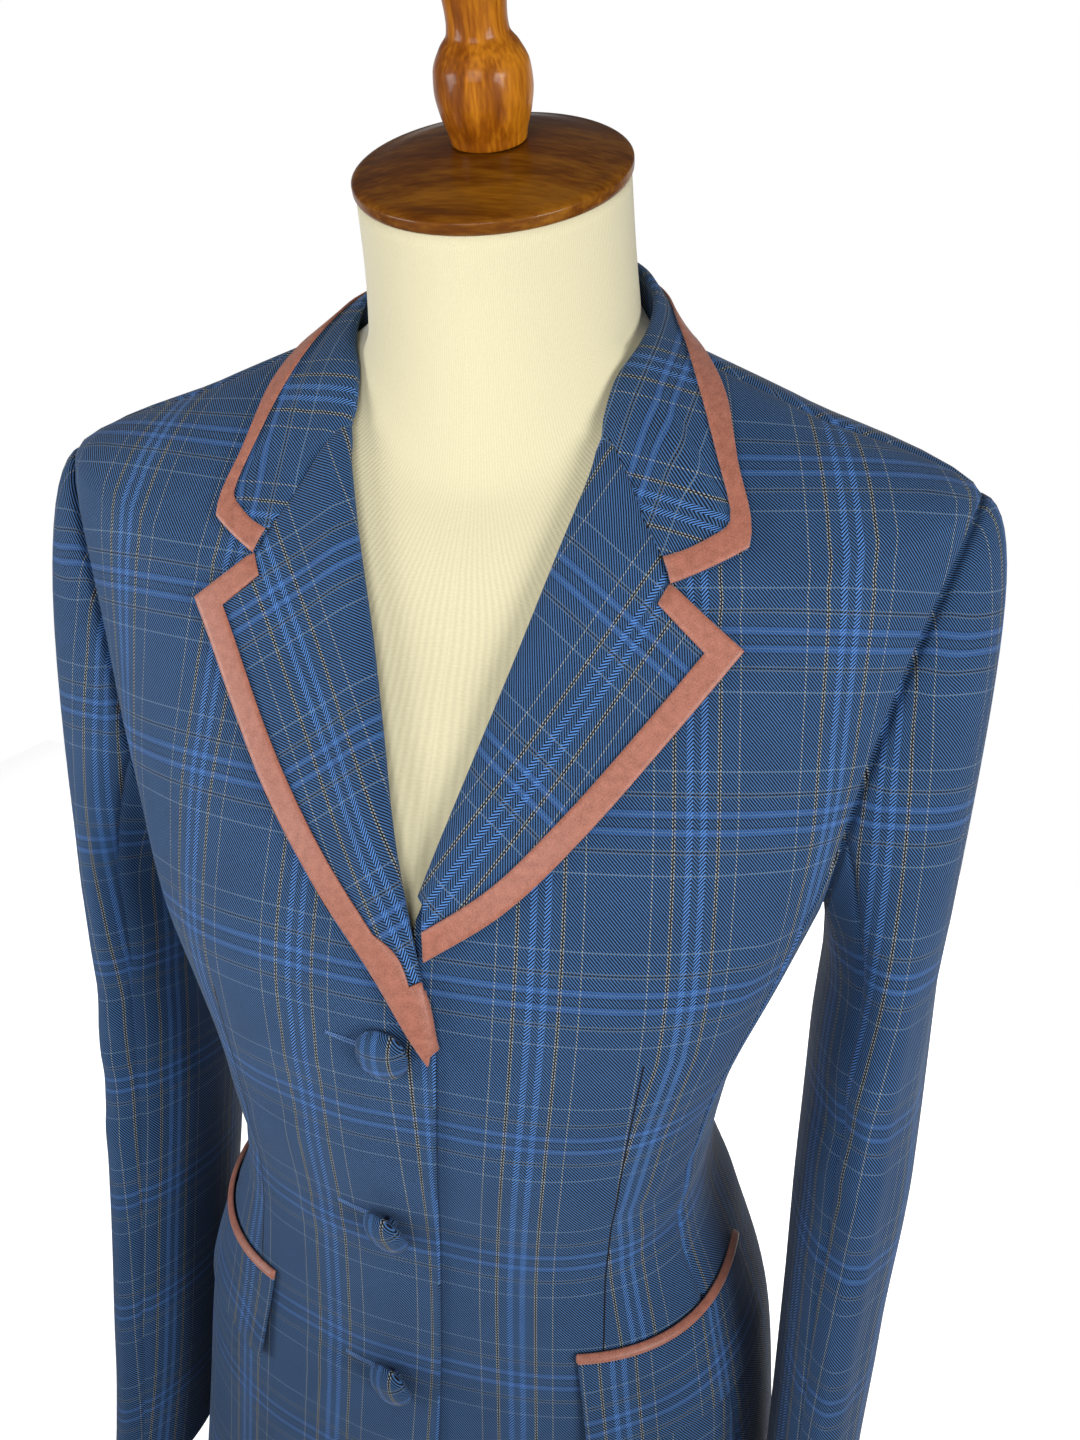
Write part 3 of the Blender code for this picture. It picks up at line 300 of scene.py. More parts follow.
# Creases: from one place to another (turns and heights), outward depth, width and bow.
# An open crease keeps growing to its end, as at a hem.
Crease = namedtuple("Crease", "side u0 z0 u1 z1 depth width bow open", defaults=(False,))
CREASE_BANK = 0.4        # beside each ridge the cloth gives way by this share
CREASE_BANK_AT = 1.7
CREASE_BANK_WIDTH = 1.4
BODY_GIRTH = 860.0
BODY_CREASES = [
    Crease("left", 0.155, 1300, 0.150, 1165, 1.3, 11, 5),
    Crease("right", 0.160, 1290, 0.145, 1170, 1.1, 12, 6),
    Crease("left", 0.020, 1135, 0.135, 1100, -0.9, 8, 4),
    Crease("right", 0.030, 1128, 0.130, 1092, -1.0, 9, -4),
    Crease("left", 0.090, 1075, 0.230, 1098, -1.6, 8, 3),
    Crease("right", 0.085, 1068, 0.225, 1088, -1.4, 9, 4),
    Crease("left", 0.110, 1052, 0.260, 1060, -1.3, 7, -3),
    Crease("right", 0.130, 1040, 0.265, 1066, -1.2, 8, -2),
    Crease("right", 0.012, 1164, 0.062, 1150, 0.7, 6, 2),
    Crease("right", 0.012, 1069, 0.066, 1060, 0.8, 6, 2),
    Crease("right", 0.012, 974, 0.060, 968, 0.8, 6, 2),
    Crease("left", 0.050, 960, 0.058, 735, 2.6, 24, 4, True),
    Crease("right", 0.060, 950, 0.052, 735, 2.2, 22, -5, True),
    Crease("left", 0.150, 900, 0.158, 735, 3.0, 22, 3, True),
    Crease("right", 0.140, 910, 0.150, 735, 3.2, 24, 4, True),
    Crease("left", 0.290, 940, 0.286, 735, 3.0, 22, -4, True),
    Crease("right", 0.300, 930, 0.292, 735, 2.8, 24, 5, True),
    Crease("left", 0.395, 950, 0.400, 735, 3.2, 24, 5, True),
    Crease("right", 0.385, 960, 0.392, 735, 2.9, 22, -4, True),
    Crease("left", 0.330, 1078, 0.480, 1064, -2.0, 9, 5),
    Crease("right", 0.340, 1072, 0.490, 1058, -2.2, 10, 5),
    Crease("left", 0.350, 1108, 0.470, 1092, -1.5, 9, -5),
    Crease("right", 0.345, 1104, 0.465, 1084, -1.4, 9, 5),
    Crease("left", 0.345, 1300, 0.375, 1180, 1.4, 13, 8),
    Crease("right", 0.350, 1305, 0.372, 1175, 1.5, 14, 7),
]
SLEEVE_GIRTH = 290.0
SLEEVE_CREASES = [
    Crease("left", 0.205, 1235, 0.185, 820, 1.6, 8, 4),
    Crease("right", 0.200, 1235, 0.180, 830, 1.5, 8, -4),
    Crease("left", 0.060, 1210, 0.100, 1090, -1.3, 11, 5),
    Crease("right", 0.070, 1215, 0.090, 1100, -1.4, 11, -4),
    Crease("left", 0.200, 1105, 0.360, 1085, -1.8, 7, 4),
    Crease("right", 0.210, 1100, 0.370, 1078, -1.7, 7, 4),
    Crease("left", 0.190, 1060, 0.330, 1045, -1.4, 7, -3),
    Crease("right", 0.195, 1052, 0.340, 1040, -1.5, 7, 4),
    Crease("left", 0.640, 1120, 0.800, 1085, -1.7, 9, 4),
    Crease("right", 0.650, 1115, 0.810, 1080, -1.6, 9, -4),
    Crease("left", 0.090, 980, 0.040, 850, -1.3, 12, 6),
    Crease("right", 0.080, 990, 0.040, 860, -1.3, 12, -6),
    Crease("left", 0.860, 1180, 0.900, 960, -1.4, 13, 7),
    Crease("right", 0.870, 1175, 0.900, 950, -1.4, 13, 7),
]

Edge = namedtuple("Edge", "along x z")
LAPEL_EDGES = {
    "left": [
        Edge(0.00, 8, 1214),
        Edge(0.21, 37, 1236),
        Edge(0.48, 66, 1268),
        Edge(0.78, 97, 1308),
        Edge(1.00, 119, 1338),
    ],
    "right": [
        Edge(0.00, -13, 1171),
        Edge(0.16, 8, 1202),
        Edge(0.40, 42, 1239),
        Edge(0.65, 75, 1279),
        Edge(1.00, 114, 1341),
    ],
}
NOTCH_X = 88.5
NOTCH_Z = 1361.0
NOTCH_SLACK = 0.001
LAPEL_FOOT_Z = {"left": 1238.0, "right": 1176.0}
UPPER_FRONT = "right"

Collar = namedtuple("Collar", "along stand u v")
COLLAR_TIP_ALONG = 0.86
COLLARS = {
    "left": [
        Collar(0.00, 31, 0.500, 10.60),
        Collar(0.20, 30, 0.425, 10.68),
        Collar(0.40, 28, 0.350, 10.84),
        Collar(0.58, 18, 0.258, 10.88),
        Collar(0.74, 5.5, 0.169, 10.26),
        Collar(COLLAR_TIP_ALONG, 4, 0.108, 9.46),
    ],
    "right": [
        Collar(0.00, 31, 0.500, 10.60),
        Collar(0.20, 30, 0.425, 10.68),
        Collar(0.40, 28, 0.350, 10.86),
        Collar(0.58, 18, 0.258, 10.92),
        Collar(0.74, 5.5, 0.158, 10.28),
        Collar(COLLAR_TIP_ALONG, 4, 0.101, 9.50),
    ],
}
NECK_CORNER_ALONG = 0.70
UPRIGHT_TO = 0.60
LOOSE_TO = 0.74

SIDES = ("left", "right")

# How finely the pieces are divided; the shares crowd towards a sewn or cut edge
EDGE = np.array([0.0, 0.004, 0.010, 0.020])
LOWER = np.concatenate([EDGE, np.linspace(0.035, 0.965, 66), 1.0 - EDGE[::-1]])
ARM = np.concatenate([EDGE * 1.5, np.linspace(0.05, 1.0, 30)])
ACROSS = np.concatenate([EDGE, np.linspace(0.035, 0.965, 44), 1.0 - EDGE[::-1]])
UNDERARM = np.concatenate([EDGE * 2.0, np.linspace(0.07, 0.93, 18), 1.0 - EDGE[::-1] * 2.0])
CAP = np.concatenate([EDGE * 1.5, np.linspace(0.05, 1.0, 26)])
SHOULDER_ROWS = 22
SHOULDER_CROWDING = 1.8
TUBE_ROWS = 66
LAPEL_ROWS = 60
GORGE_COLUMNS = 18
TIP_COLUMNS = 6
TRIM_COLUMNS = 6
COLLAR_ROWS = 70
COLLAR_TIP_ROWS = 12
COLLAR_COLUMNS = 18
FOLD_STEPS = 5
CORNER_EASE_ROWS = 14.0
CORNER_EASE_STEPS = 130
FLAP_ROWS = 20
PIPING_ROWS = 8
POCKET_COLUMNS = 60
FORM_ROWS = 70
FORM_COLUMNS = 160
NECK_RINGS = 13
PROFILE_STEPS = 6
DOME_STEPS = 5
CAP_SIDES = 128
FINIAL_SIDES = 72
POLE_SIDES = 48
BUTTON_SIDES = 48
THREAD_SIDES = 8
HOLE_POINTS = 40
FLAT_ROWS = 34
FLAT_COLUMNS = 18
PANEL_FLAT_ROWS = 40
PANEL_FLAT_COLUMNS = 20
FLAT_STEPS = 30
OUTSIDE_SHARE = 0.02
OUTSIDE_REACH = 1.2
LEAST_WEIGHT = 0.05
MOST_WEIGHT = 20.0
LAPEL_UPRIGHT_ROW = 6
DENSE = 400              # points of a curve that is only read between them
VIEW_ROWS = 700
VIEW_STEPS = 12
EDGE_STEPS = 10

# The plaid: half of each repeat, from the middle of a group outward, as yarns and where they start
WARP_REPEAT = 60.0
WEFT_REPEAT = 71.9
# A marked warp turns the twill, and a marked weft lies on top
Yarn = namedtuple("Yarn", "start colour mark")
WARP = [
    Yarn(0.0, "warp", 0.0),
    Yarn(1.45, "warp_bar", 1.0),
    Yarn(4.2, "warp", 0.0),
    Yarn(8.25, "tan", 0.0),
    Yarn(8.75, "black", 0.0),
    Yarn(9.15, "tan", 0.0),
    Yarn(9.65, "warp", 0.0),
    Yarn(16.7, "pale", 0.0),
    Yarn(17.25, "warp", 0.0),
]
WEFT = [
    Yarn(0.0, "weft", 0.0),
    Yarn(1.4, "black", 0.6),
    Yarn(2.0, "weft_bar", 0.0),
    Yarn(3.2, "weft_thread", 0.0),
    Yarn(3.6, "weft_bar", 0.0),
    Yarn(4.8, "black", 0.6),
    Yarn(5.4, "weft", 0.0),
    Yarn(10.3, "weft_tan", 0.0),
    Yarn(10.7, "black", 1.0),
    Yarn(11.7, "weft_tan", 0.0),
    Yarn(12.1, "weft", 0.0),
    Yarn(20.2, "weft_pale", 0.0),
    Yarn(20.75, "weft", 0.0),
]
YARNS = {
    "warp": (59, 97, 143),
    "warp_bar": (77, 125, 189),
    "weft": (7, 12, 26),
    "weft_bar": (30, 59, 108),
    "weft_thread": (80, 101, 130),
    "weft_tan": (82, 85, 84),
    "weft_pale": (92, 101, 106),
    "black": (12, 17, 28),
    "tan": (150, 155, 153),
    "pale": (142, 151, 156),
}
TWILL_ACROSS = 1.42      # from one twill line to the next, across and up
TWILL_UP = 1.6
TWILL_LEVEL = 0.28       # how far the warp lies on top, and how sharply the yarns change over
TWILL_MARK = -1.3
TWILL_GAIN = 2.2

# Where each cut lies on the plaid, and how far its warp leans for each millimetre up
Cut = namedtuple("Cut", "across up lean")
CUTS = {
    "front_left": Cut(-77.2, -1350.0, 0.026),
    "front_right": Cut(42.5, -1351.0, 0.0),
    "side_left": Cut(10.0, -1351.0, 0.0),
    "side_right": Cut(-10.0, -1351.0, 0.0),
    "back_left": Cut(0.0, -1351.0, 0.0),
    "back_right": Cut(0.0, -1351.0, 0.0),
    "top_sleeve_left": Cut(92.0, -1266.0, 0.0),
    "top_sleeve_right": Cut(-92.0, -1274.0, 0.0),
    "under_sleeve_left": Cut(20.0, -1266.0, 0.0),
    "under_sleeve_right": Cut(-20.0, -1274.0, 0.0),
    "lapel_left": Cut(38.4, 12.8, 0.146),
    "lapel_right": Cut(-36.6, 9.2, -0.112),
    "collar": Cut(-20.0, -30.0, 0.0),
    "pocket_flap_left": Cut(-18.4, -966.0, 0.0),
    "pocket_flap_right": Cut(18.4, -966.0, 0.0),
    "button": Cut(2.8, 8.0, 0.0),
}
DART_X = 92.0            # the waist dart, by its place on the flat front
DART_LOW_Z = 1000.0
DART_HIGH_Z = 1177.0
DART_TAKE = 11.0
DART_LINE = 0.45

# Camera, as the photograph was taken, and lights, in metres
CAMERA_PLACE = (0.1544, -0.4860, 1.4517)
CAMERA_FORWARD = (-0.2551, 0.9075, -0.3338)
CAMERA_UP = (-0.1188, 0.3131, 0.9423)
CAMERA_LENS = 27.04
CAMERA_SENSOR = 36.0
ROOM_LIGHT = 0.13
WALL_WAY = (-0.27, 0.963, 0.0)
WALL_SIDES = (0.55, 0.8)     # where the wall fades at its sides and at its top
WALL_TOP = (0.27, 0.42)
FLOOR_REACH = 2.6
Lamp = namedtuple("Lamp", "name place aim size power spread")
LAMPS = [
    Lamp("key", (0.0, -0.82, 1.46), (0.0, -0.1, 1.38), 0.45, 1.15, 100.0),
    Lamp("fill_right", (1.15, -0.75, 1.38), (0.05, -0.1, 1.38), 0.6, 4.4, 90.0),
    Lamp("fill_left", (-1.15, -0.75, 1.38), (-0.05, -0.1, 1.38), 0.6, 3.3, 90.0),
    Lamp("backdrop", (0.0, 1.4, 2.6), (0.0, 5.0, 0.0), 3.0, 160.0, 180.0),
]


def soft_step(start, end, value):
    t = np.clip((value - start) / (end - start), 0.0, 1.0)
    return t * t * (3.0 - 2.0 * t)


def unit(vectors):
    return vectors / (np.linalg.norm(vectors, axis=-1, keepdims=True) + 1e-12)


def mix(a, b, t):
    return a + (b - a) * t


def cubic_at(knots, values, tangent, at):
    """The curve through values at the knots, with the given tangents there."""
    span = np.clip(np.searchsorted(knots, at, side="right") - 1, 0, len(knots) - 2)
    width = (knots[span + 1] - knots[span])[..., None]
    t = (at - knots[span])[..., None] / width
    return cubic(values[span], values[span + 1], tangent[span] * width, tangent[span + 1] * width, t)


def cubic(start, end, leave, arrive, t):
    """A curve from start to end, by its tangents at both."""
    return (
        start * (1.0 - t) ** 2 * (1.0 + 2.0 * t)
        + end * t ** 2 * (3.0 - 2.0 * t)
        + leave * t * (1.0 - t) ** 2
        - arrive * t ** 2 * (1.0 - t)
    )


def smooth_through(knots, values, at):
    """A curve through rows of values that never overshoots them."""
    knots = np.asarray(knots, float)
    values = np.asarray(values, float)
    at = np.clip(np.asarray(at, float), knots[0], knots[-1])
    step = np.diff(knots)[:, None]
    slope = np.diff(values, axis=0) / step
    before = 2.0 * step[1:] + step[:-1]
    after = step[1:] + 2.0 * step[:-1]
    with np.errstate(divide="ignore", invalid="ignore"):
        harmonic = (before + after) / (before / slope[:-1] + after / slope[1:])
    inner = np.where(slope[:-1] * slope[1:] > 0.0, harmonic, 0.0)
    return cubic_at(knots, values, np.concatenate([slope[:1], inner, slope[-1:]]), at)


def through(knots, values, at):
    """A curve through flat places, with each tangent from the places beside it."""
    step = np.diff(knots)[:, None]
    slope = np.diff(values, axis=0) / step
    inner = (slope[:-1] * step[1:] + slope[1:] * step[:-1]) / (step[1:] + step[:-1])
    return cubic_at(knots, values, np.concatenate([slope[:1], inner, slope[-1:]]), at)


def table_at(rows, at, first=1):
    """The number columns of a table, from column first on, at a row number."""
    numbers = np.array([row[first:] for row in rows], float)
    return np.moveaxis(smooth_through(np.arange(len(rows)), numbers, at), -1, 0)


def body(u, v):
    """The coat's outer surface: u is 0 at the centre front, 0.25 at the side, 0.5 behind."""
    u, v = np.broadcast_arrays(np.asarray(u, float), np.asarray(v, float))
    z_front, z_side, z_back, half_width, front, back, side_y, sq_front, sq_back = table_at(SECTIONS, v)
    turn = (u + 0.5) % 1.0 - 0.5
    across = np.sin(np.abs(turn) * math.tau)
    along = np.cos(turn * math.tau)
    ahead = along >= 0.0
    power = 2.0 / np.where(ahead, sq_front, sq_back)
    depth = np.abs(along) ** power
    x = np.sign(turn) * half_width * np.abs(across) ** power
    y = np.where(ahead, side_y - (front + side_y) * depth, side_y + (back - side_y) * depth)
    z = z_side + np.where(ahead, z_front - z_side, z_back - z_side) * along ** 2
    return np.stack([x, y, z], axis=-1)


def body_normal(u, v):
    small_turn = 0.002
    small_row = 0.02
    round_it = body(u + small_turn, v) - body(u - small_turn, v)
    up_it = body(u, v + small_row) - body(u, v - small_row)
    return unit(np.cross(round_it, up_it))


def turn_at_x(x, v):
    """The turn, near the front, at which row v is x from the centre."""
    _, _, _, half_width, _, _, _, sq_front, _ = table_at(SECTIONS, v)
    share = np.clip(np.abs(x) / half_width, 0.0, 1.0)
    return np.sign(x) * np.arcsin(share ** (sq_front / 2.0)) / math.tau


def front_view(x, z):
    """Turn and row of the surface point that stands at x, z in the front view."""
    rows = np.linspace(0.0, TOP, VIEW_ROWS)
    v = np.interp(z, table_at(SECTIONS, rows)[0], rows)
    u = turn_at_x(x, v)
    step = 0.01
    for _ in range(VIEW_STEPS):
        below = np.minimum(v, TOP - step)
        climb = (body(u, below + step) - body(u, below))[..., 2] / step
        v = np.clip(v + (z - body(u, v)[..., 2]) / climb, 0.0, TOP)
        u = turn_at_x(x, v)
    return u, v


def roll_x(z):
    """Where a lapel's roll line is, by height in the front view."""
    slope = (GORGE_X + OVERLAP) / (GORGE_Z - ROLL_BREAK_Z)
    return GORGE_X + (z - GORGE_Z) * slope


def front_edge(v):
    """Turn of a front's cut edge: straight below the break, then along the roll line."""
    u = np.zeros_like(v)
    for _ in range(EDGE_STEPS):
        z = body(u, v)[..., 2]
        u = turn_at_x(np.maximum(-OVERLAP, roll_x(z) + ROLL_SETBACK), v)
    return u


def arm_width(v, reach):
    share = np.clip(1.0 - ((v - ARM_MIDDLE) / ARM_REACH) ** 2, 0.0, 1.0)
    return reach * share ** ARM_ROUND


def arm_foot(u):
    """Row at which the armhole's lower half crosses turn u."""
    reach = np.where(u < SIDE, ARM_FRONT, ARM_BACK)
    share = np.clip(np.abs(u - SIDE) / reach, 0.0, 1.0)
    return ARM_MIDDLE - ARM_REACH * np.sqrt(1.0 - share ** (1.0 / ARM_ROUND))


def armhole(angle):
    """Turn and row on the armhole: angle 0 at the shoulder tip, a quarter turn at its front."""
    ahead = np.sin(angle) >= 0.0
    v = ARM_MIDDLE + ARM_REACH * np.cos(angle)
    width = arm_width(v, np.where(ahead, ARM_FRONT, ARM_BACK))
    return np.where(ahead, SIDE - width, SIDE + width), v


def corner_angle(seam, reach):
    """Armhole angle, front or back alike, at which a side seam runs into it."""
    return math.pi - math.asin((abs(seam - SIDE) / reach) ** (0.5 / ARM_ROUND))


FRONT_CORNER = corner_angle(FRONT_SEAM, ARM_FRONT)
BACK_CORNER = math.tau - corner_angle(BACK_SEAM, ARM_BACK)


def armhole_inward(angle):
    """In the surface, from the armhole's rim to its middle."""
    step = 0.01
    rim = body(*armhole(angle))
    along = body(*armhole(angle + step)) - body(*armhole(angle - step))
    across = unit(np.cross(along, body_normal(*armhole(angle))))
    to_middle = body(SIDE, ARM_MIDDLE) - rim
    return across * np.sign(np.sum(across * to_middle, axis=-1, keepdims=True))


def crease_height(creases, side, turn, z, girth):
    """How far the listed creases of a side stand out at turns and heights."""
    height = np.zeros(np.broadcast(turn, z).shape)
    for crease in creases:
        if crease.side != side:
            continue
        way_x = (crease.u1 - crease.u0) * girth
        way_z = crease.z1 - crease.z0
        length = math.hypot(way_x, way_z)
        dx = (((turn - crease.u0) + 0.5) % 1.0 - 0.5) * girth
        dz = z - crease.z0
        along = (dx * way_x + dz * way_z) / length ** 2
        inside = np.clip(along, 0.0, 1.0)
        off = (dx * way_z - dz * way_x) / length - crease.bow * np.sin(math.pi * inside)
        swell = np.sin(inside * math.pi * (0.5 if crease.open else 1.0))
        ridge = np.exp(-(off / crease.width) ** 2)
        bank = np.exp(-((off / crease.width - CREASE_BANK_AT) / CREASE_BANK_WIDTH) ** 2)
        height += crease.depth * swell * (ridge - CREASE_BANK * bank)
    return height


def panel_lift(side, u, v):
    """The upper front rises over the lower one near the front edge."""
    if side != UPPER_FRONT:
        return np.zeros(np.broadcast(u, v).shape)
    point = body(u, v)
    near_edge = 1.0 - soft_step(LIFT_NEAR, LIFT_FAR, point[..., 0])
    below = 1.0 - soft_step(LIFT_LOW_Z, LIFT_HIGH_Z, point[..., 2])
    return OVERLAP_LIFT * near_edge * below


def panel_point(side, u, v):
    """The outer cloth of a side of the coat, with its creases."""
    crease = crease_height(BODY_CREASES, side, u, body(u, v)[..., 2], BODY_GIRTH)
    aside = (u - SIDE) / TIP_DROP_TURN
    above = (v - TIP - TIP_DROP_ABOVE) / TIP_DROP_ROWS
    out = panel_lift(side, u, v) + crease - TIP_DROP * np.exp(-aside ** 2 - above ** 2)
    return body(u, v) + body_normal(u, v) * out[..., None]


def pull_in(points, column, neighbour, rows=slice(None)):
    """Move an edge column back from its seam line by half a seam gap."""
    away = unit(points[rows, neighbour] - points[rows, column])
    points[rows, column] += away * SEAM / 2.0


def sink_edge(points, normals, axis, last, only=None, depth=SEAM_DROP):
    """Let a sewn edge of a grid sink in, so that the seam shows as a soft groove."""
    rows = np.moveaxis(points, axis, 0)
    rows = rows[::-1] if last else rows
    drop = depth * np.exp(-(arc_lengths(rows, 0) / SEAM_ROLL) ** 2)
    if only is not None:
        drop = drop * only[None, :]
    drop = drop[::-1] if last else drop
    points -= normals * np.moveaxis(drop, 0, axis)[..., None]


def arm_rows(corner):
    """Armhole angles of a front's or back's rows, from the side seam up to the tip."""
    return corner * (1.0 - ARM)


def shoulder_rows():
    """Rows from the shoulder tip to the neck, closer together where the neckline turns."""
    left = 1.0 - np.linspace(0.0, 1.0, SHOULDER_ROWS + 1)
    return mix(TOP, TIP, left ** SHOULDER_CROWDING)


def panel_rows(corner):
    """Rows of a front or back: seam to the armhole, armhole, then shoulder."""
    arm = ARM_MIDDLE + ARM_REACH * np.cos(arm_rows(corner))
    return np.concatenate([LOWER[:-1] * arm[0], arm, shoulder_rows()[1:]])


def side_turns():
    return mix(FRONT_SEAM, BACK_SEAM, UNDERARM)


def side_angles():
    """Armhole angles at the tops of the side panel's columns."""
    u = side_turns()
    share = np.abs(u - SIDE) / np.where(u < SIDE, ARM_FRONT, ARM_BACK)
    return math.pi - np.sign(SIDE - u) * np.arcsin(share ** (0.5 / ARM_ROUND))


def shoulder_turn(v):
    """Turn of the shoulder seam, from the tip to the neck."""
    return SIDE - SHOULDER_FORWARD * np.clip((v - TIP) / SHOULDER_FORWARD_ROWS, 0.0, 1.0)


def side_edge(v, seam, reach, way):
    """Turns of a front's or back's outer edge: side seam, armhole, then shoulder seam."""
    above = np.where(v < TIP, SIDE + way * arm_width(v, reach), shoulder_turn(v))
    return np.where(v <= v[len(LOWER) - 1], seam, above)[:, None]


def sewn_panel(side, u, v, column, neighbour, way):
    """A front's or back's points, its outer edge moved back from the seams and the armhole."""
    v_grid = np.broadcast_to(v[:, None], u.shape)
    points = panel_point(side, u, v_grid)
    at_armhole = (v > v[len(LOWER) - 1]) & (v <= TIP)
    pull_in(points, column, neighbour, ~at_armhole | (v >= TIP))
    angle = np.arccos(np.clip((v[at_armhole] - ARM_MIDDLE) / ARM_REACH, -1.0, 1.0))
    points[at_armhole, column] -= armhole_inward(-way * angle) * SEAM / 2.0
    return points, body_normal(u, v_grid)


def front_panel(side):
    v = panel_rows(FRONT_CORNER)
    u = mix(front_edge(v)[:, None], side_edge(v, FRONT_SEAM, ARM_FRONT, -1.0), ACROSS[None, :])
    points, normals = sewn_panel(side, u, v, -1, -2, -1.0)
    sink_edge(points, normals, 1, True)
    return points, normals, u, v


def back_panel(side):
    v = panel_rows(math.tau - BACK_CORNER)
    u = mix(side_edge(v, BACK_SEAM, ARM_BACK, 1.0), CENTRE_BACK, ACROSS[None, :])
    points, normals = sewn_panel(side, u, v, 0, 1, 1.0)
    points[:, -1, 0] = SEAM / 2.0
    sink_edge(points, normals, 1, False)
    sink_edge(points, normals, 1, True)
    return points, normals, u, v


def side_panel(side):
    u = side_turns()
    v_grid = LOWER[:, None] * arm_foot(u)[None, :]
    u_grid = np.broadcast_to(u[None, :], v_grid.shape)
    points = panel_point(side, u_grid, v_grid)
    normals = body_normal(u_grid, v_grid)
    pull_in(points, 0, 1)
    pull_in(points, -1, -2)
    points[-1] -= armhole_inward(side_angles()) * SEAM / 2.0
    sink_edge(points, normals, 1, False)
    sink_edge(points, normals, 1, True)
    sink_edge(points, normals, 0, True)
    return points, normals


def sleeve_ring(z, angle):
    rows = np.interp(-z, [-row.z for row in SLEEVES], np.arange(len(SLEEVES)))
    _, middle_x, middle_y, half_x, half_y, squareness = table_at(SLEEVES, rows)
    across = np.cos(angle)
    ahead = np.sin(angle)
    x = middle_x + half_x * np.sign(across) * np.abs(across) ** (2.0 / squareness)
    y = middle_y - half_y * np.sign(ahead) * np.abs(ahead) ** (2.0 / squareness)
    return np.stack([x, y, np.broadcast_to(z, x.shape)], axis=-1)


def sleeve_cap(side, share, angle):
    """From the armhole (share 0), out over the sleeve head and down to the biceps (share 1)."""
    start = panel_point(side, *armhole(angle)) + armhole_inward(angle) * SEAM / 2.0
    end = sleeve_ring(np.full_like(angle, SLEEVES[0].z), angle)
    reach = np.linalg.norm(end - start, axis=-1)[..., None]
    low = (1.0 - np.cos(angle)) / 2.0
    drop = CAP_DROP_TOP + CAP_DROP_FOOT * low
    leave = unit(np.stack([1.0 - CAP_FLATTEN * low, -CAP_FORWARD * np.sin(angle), -drop], axis=-1))
    arrive = np.array([0.0, 0.0, -1.0])
    return cubic(start, end, leave * reach * CAP_LEAVE, arrive * reach * CAP_ARRIVE, share)


def sleeve_hollows(points, turn):
    """How far the largest folds push the sleeve in at each point."""
    push = np.zeros(points.shape[:2])
    for hollow in SLEEVE_HOLLOWS:
        across = (turn - hollow.turn) / hollow.turn_width
        up = (points[..., 2] - hollow.z) / hollow.height
        push += hollow.depth * np.exp(-across ** 2 - up ** 2)
    return push


def sleeve_pieces(side):
    """Top sleeve and under sleeve: rows from the armhole down, columns round from the tip."""
    front_rows = arm_rows(FRONT_CORNER)[::-1]
    back_rows = math.tau - arm_rows(math.tau - BACK_CORNER)
    angle = np.concatenate([front_rows[:-1], side_angles(), back_rows[1:]])
    tube_share = np.concatenate([np.linspace(0.0, 0.97, TUBE_ROWS)[1:], 1.0 - EDGE[::-1]])
    tube_z = mix(SLEEVES[0].z, SLEEVES[-1].z, tube_share)
    cap = [sleeve_cap(side, share, angle) for share in CAP]
    tube = [sleeve_ring(np.full_like(angle, z), angle) for z in tube_z]
    points = np.array(cap + tube)
    turn = angle / math.tau
    fade = np.concatenate([soft_step(0.0, 1.0, CAP * CAP_CREASE_RATE), np.ones(len(tube_z))])[:, None]
    crease = crease_height(SLEEVE_CREASES, side, turn[None, :], points[..., 2], SLEEVE_GIRTH) * fade
    out = crease - sleeve_hollows(points, turn)
    points = points + ring_normals(points) * out[..., None]
    normals = ring_normals(points)
    normals[0] = body_normal(*armhole(angle))
    front = len(front_rows) - 1
    back = front + len(UNDERARM) - 1
    under = [grid[:, front:back + 1].copy() for grid in (points, normals)]
    top = [np.concatenate([grid[:, back:-1], grid[:, :front + 1]], axis=1) for grid in (points, normals)]
    for piece, out_of in (top, under):
        pull_in(piece, 0, 1)
        pull_in(piece, -1, -2)
        sink_edge(piece, out_of, 1, False)
        sink_edge(piece, out_of, 1, True)
        sink_edge(piece, out_of, 0, False, None, ARM_DROP)
    return top, under


def ring_normals(points):
    """Outward normals of a grid whose last column repeats its first."""
    wrapped = np.concatenate([points[:, -2:-1], points, points[:, 1:2]], axis=1)
    return -grid_normals(wrapped)[:, 1:-1]


def grid_normals(points):
    return unit(np.cross(np.gradient(points, axis=0), np.gradient(points, axis=1)))


def lapel_rows(side):
    """Front-view places of the rows on a lapel's outer edge, and their share of its length."""
    table = LAPEL_EDGES[side]
    places = np.array([[row.x, row.z] for row in table], float)
    dense = smooth_through([row.along for row in table], places, np.linspace(0.0, 1.0, DENSE))
    length = arc_lengths(dense, 0)
    trim_start = length[-1] - TRIM_WIDTH
    main = np.linspace(0.0, trim_start, LAPEL_ROWS + 1)
    stops = np.concatenate([main, np.linspace(trim_start, length[-1], TRIM_COLUMNS + 1)[1:]])
    place = np.stack([np.interp(stops, length, dense[:, k]) for k in range(2)], axis=-1)
    return place, stops / length[-1]


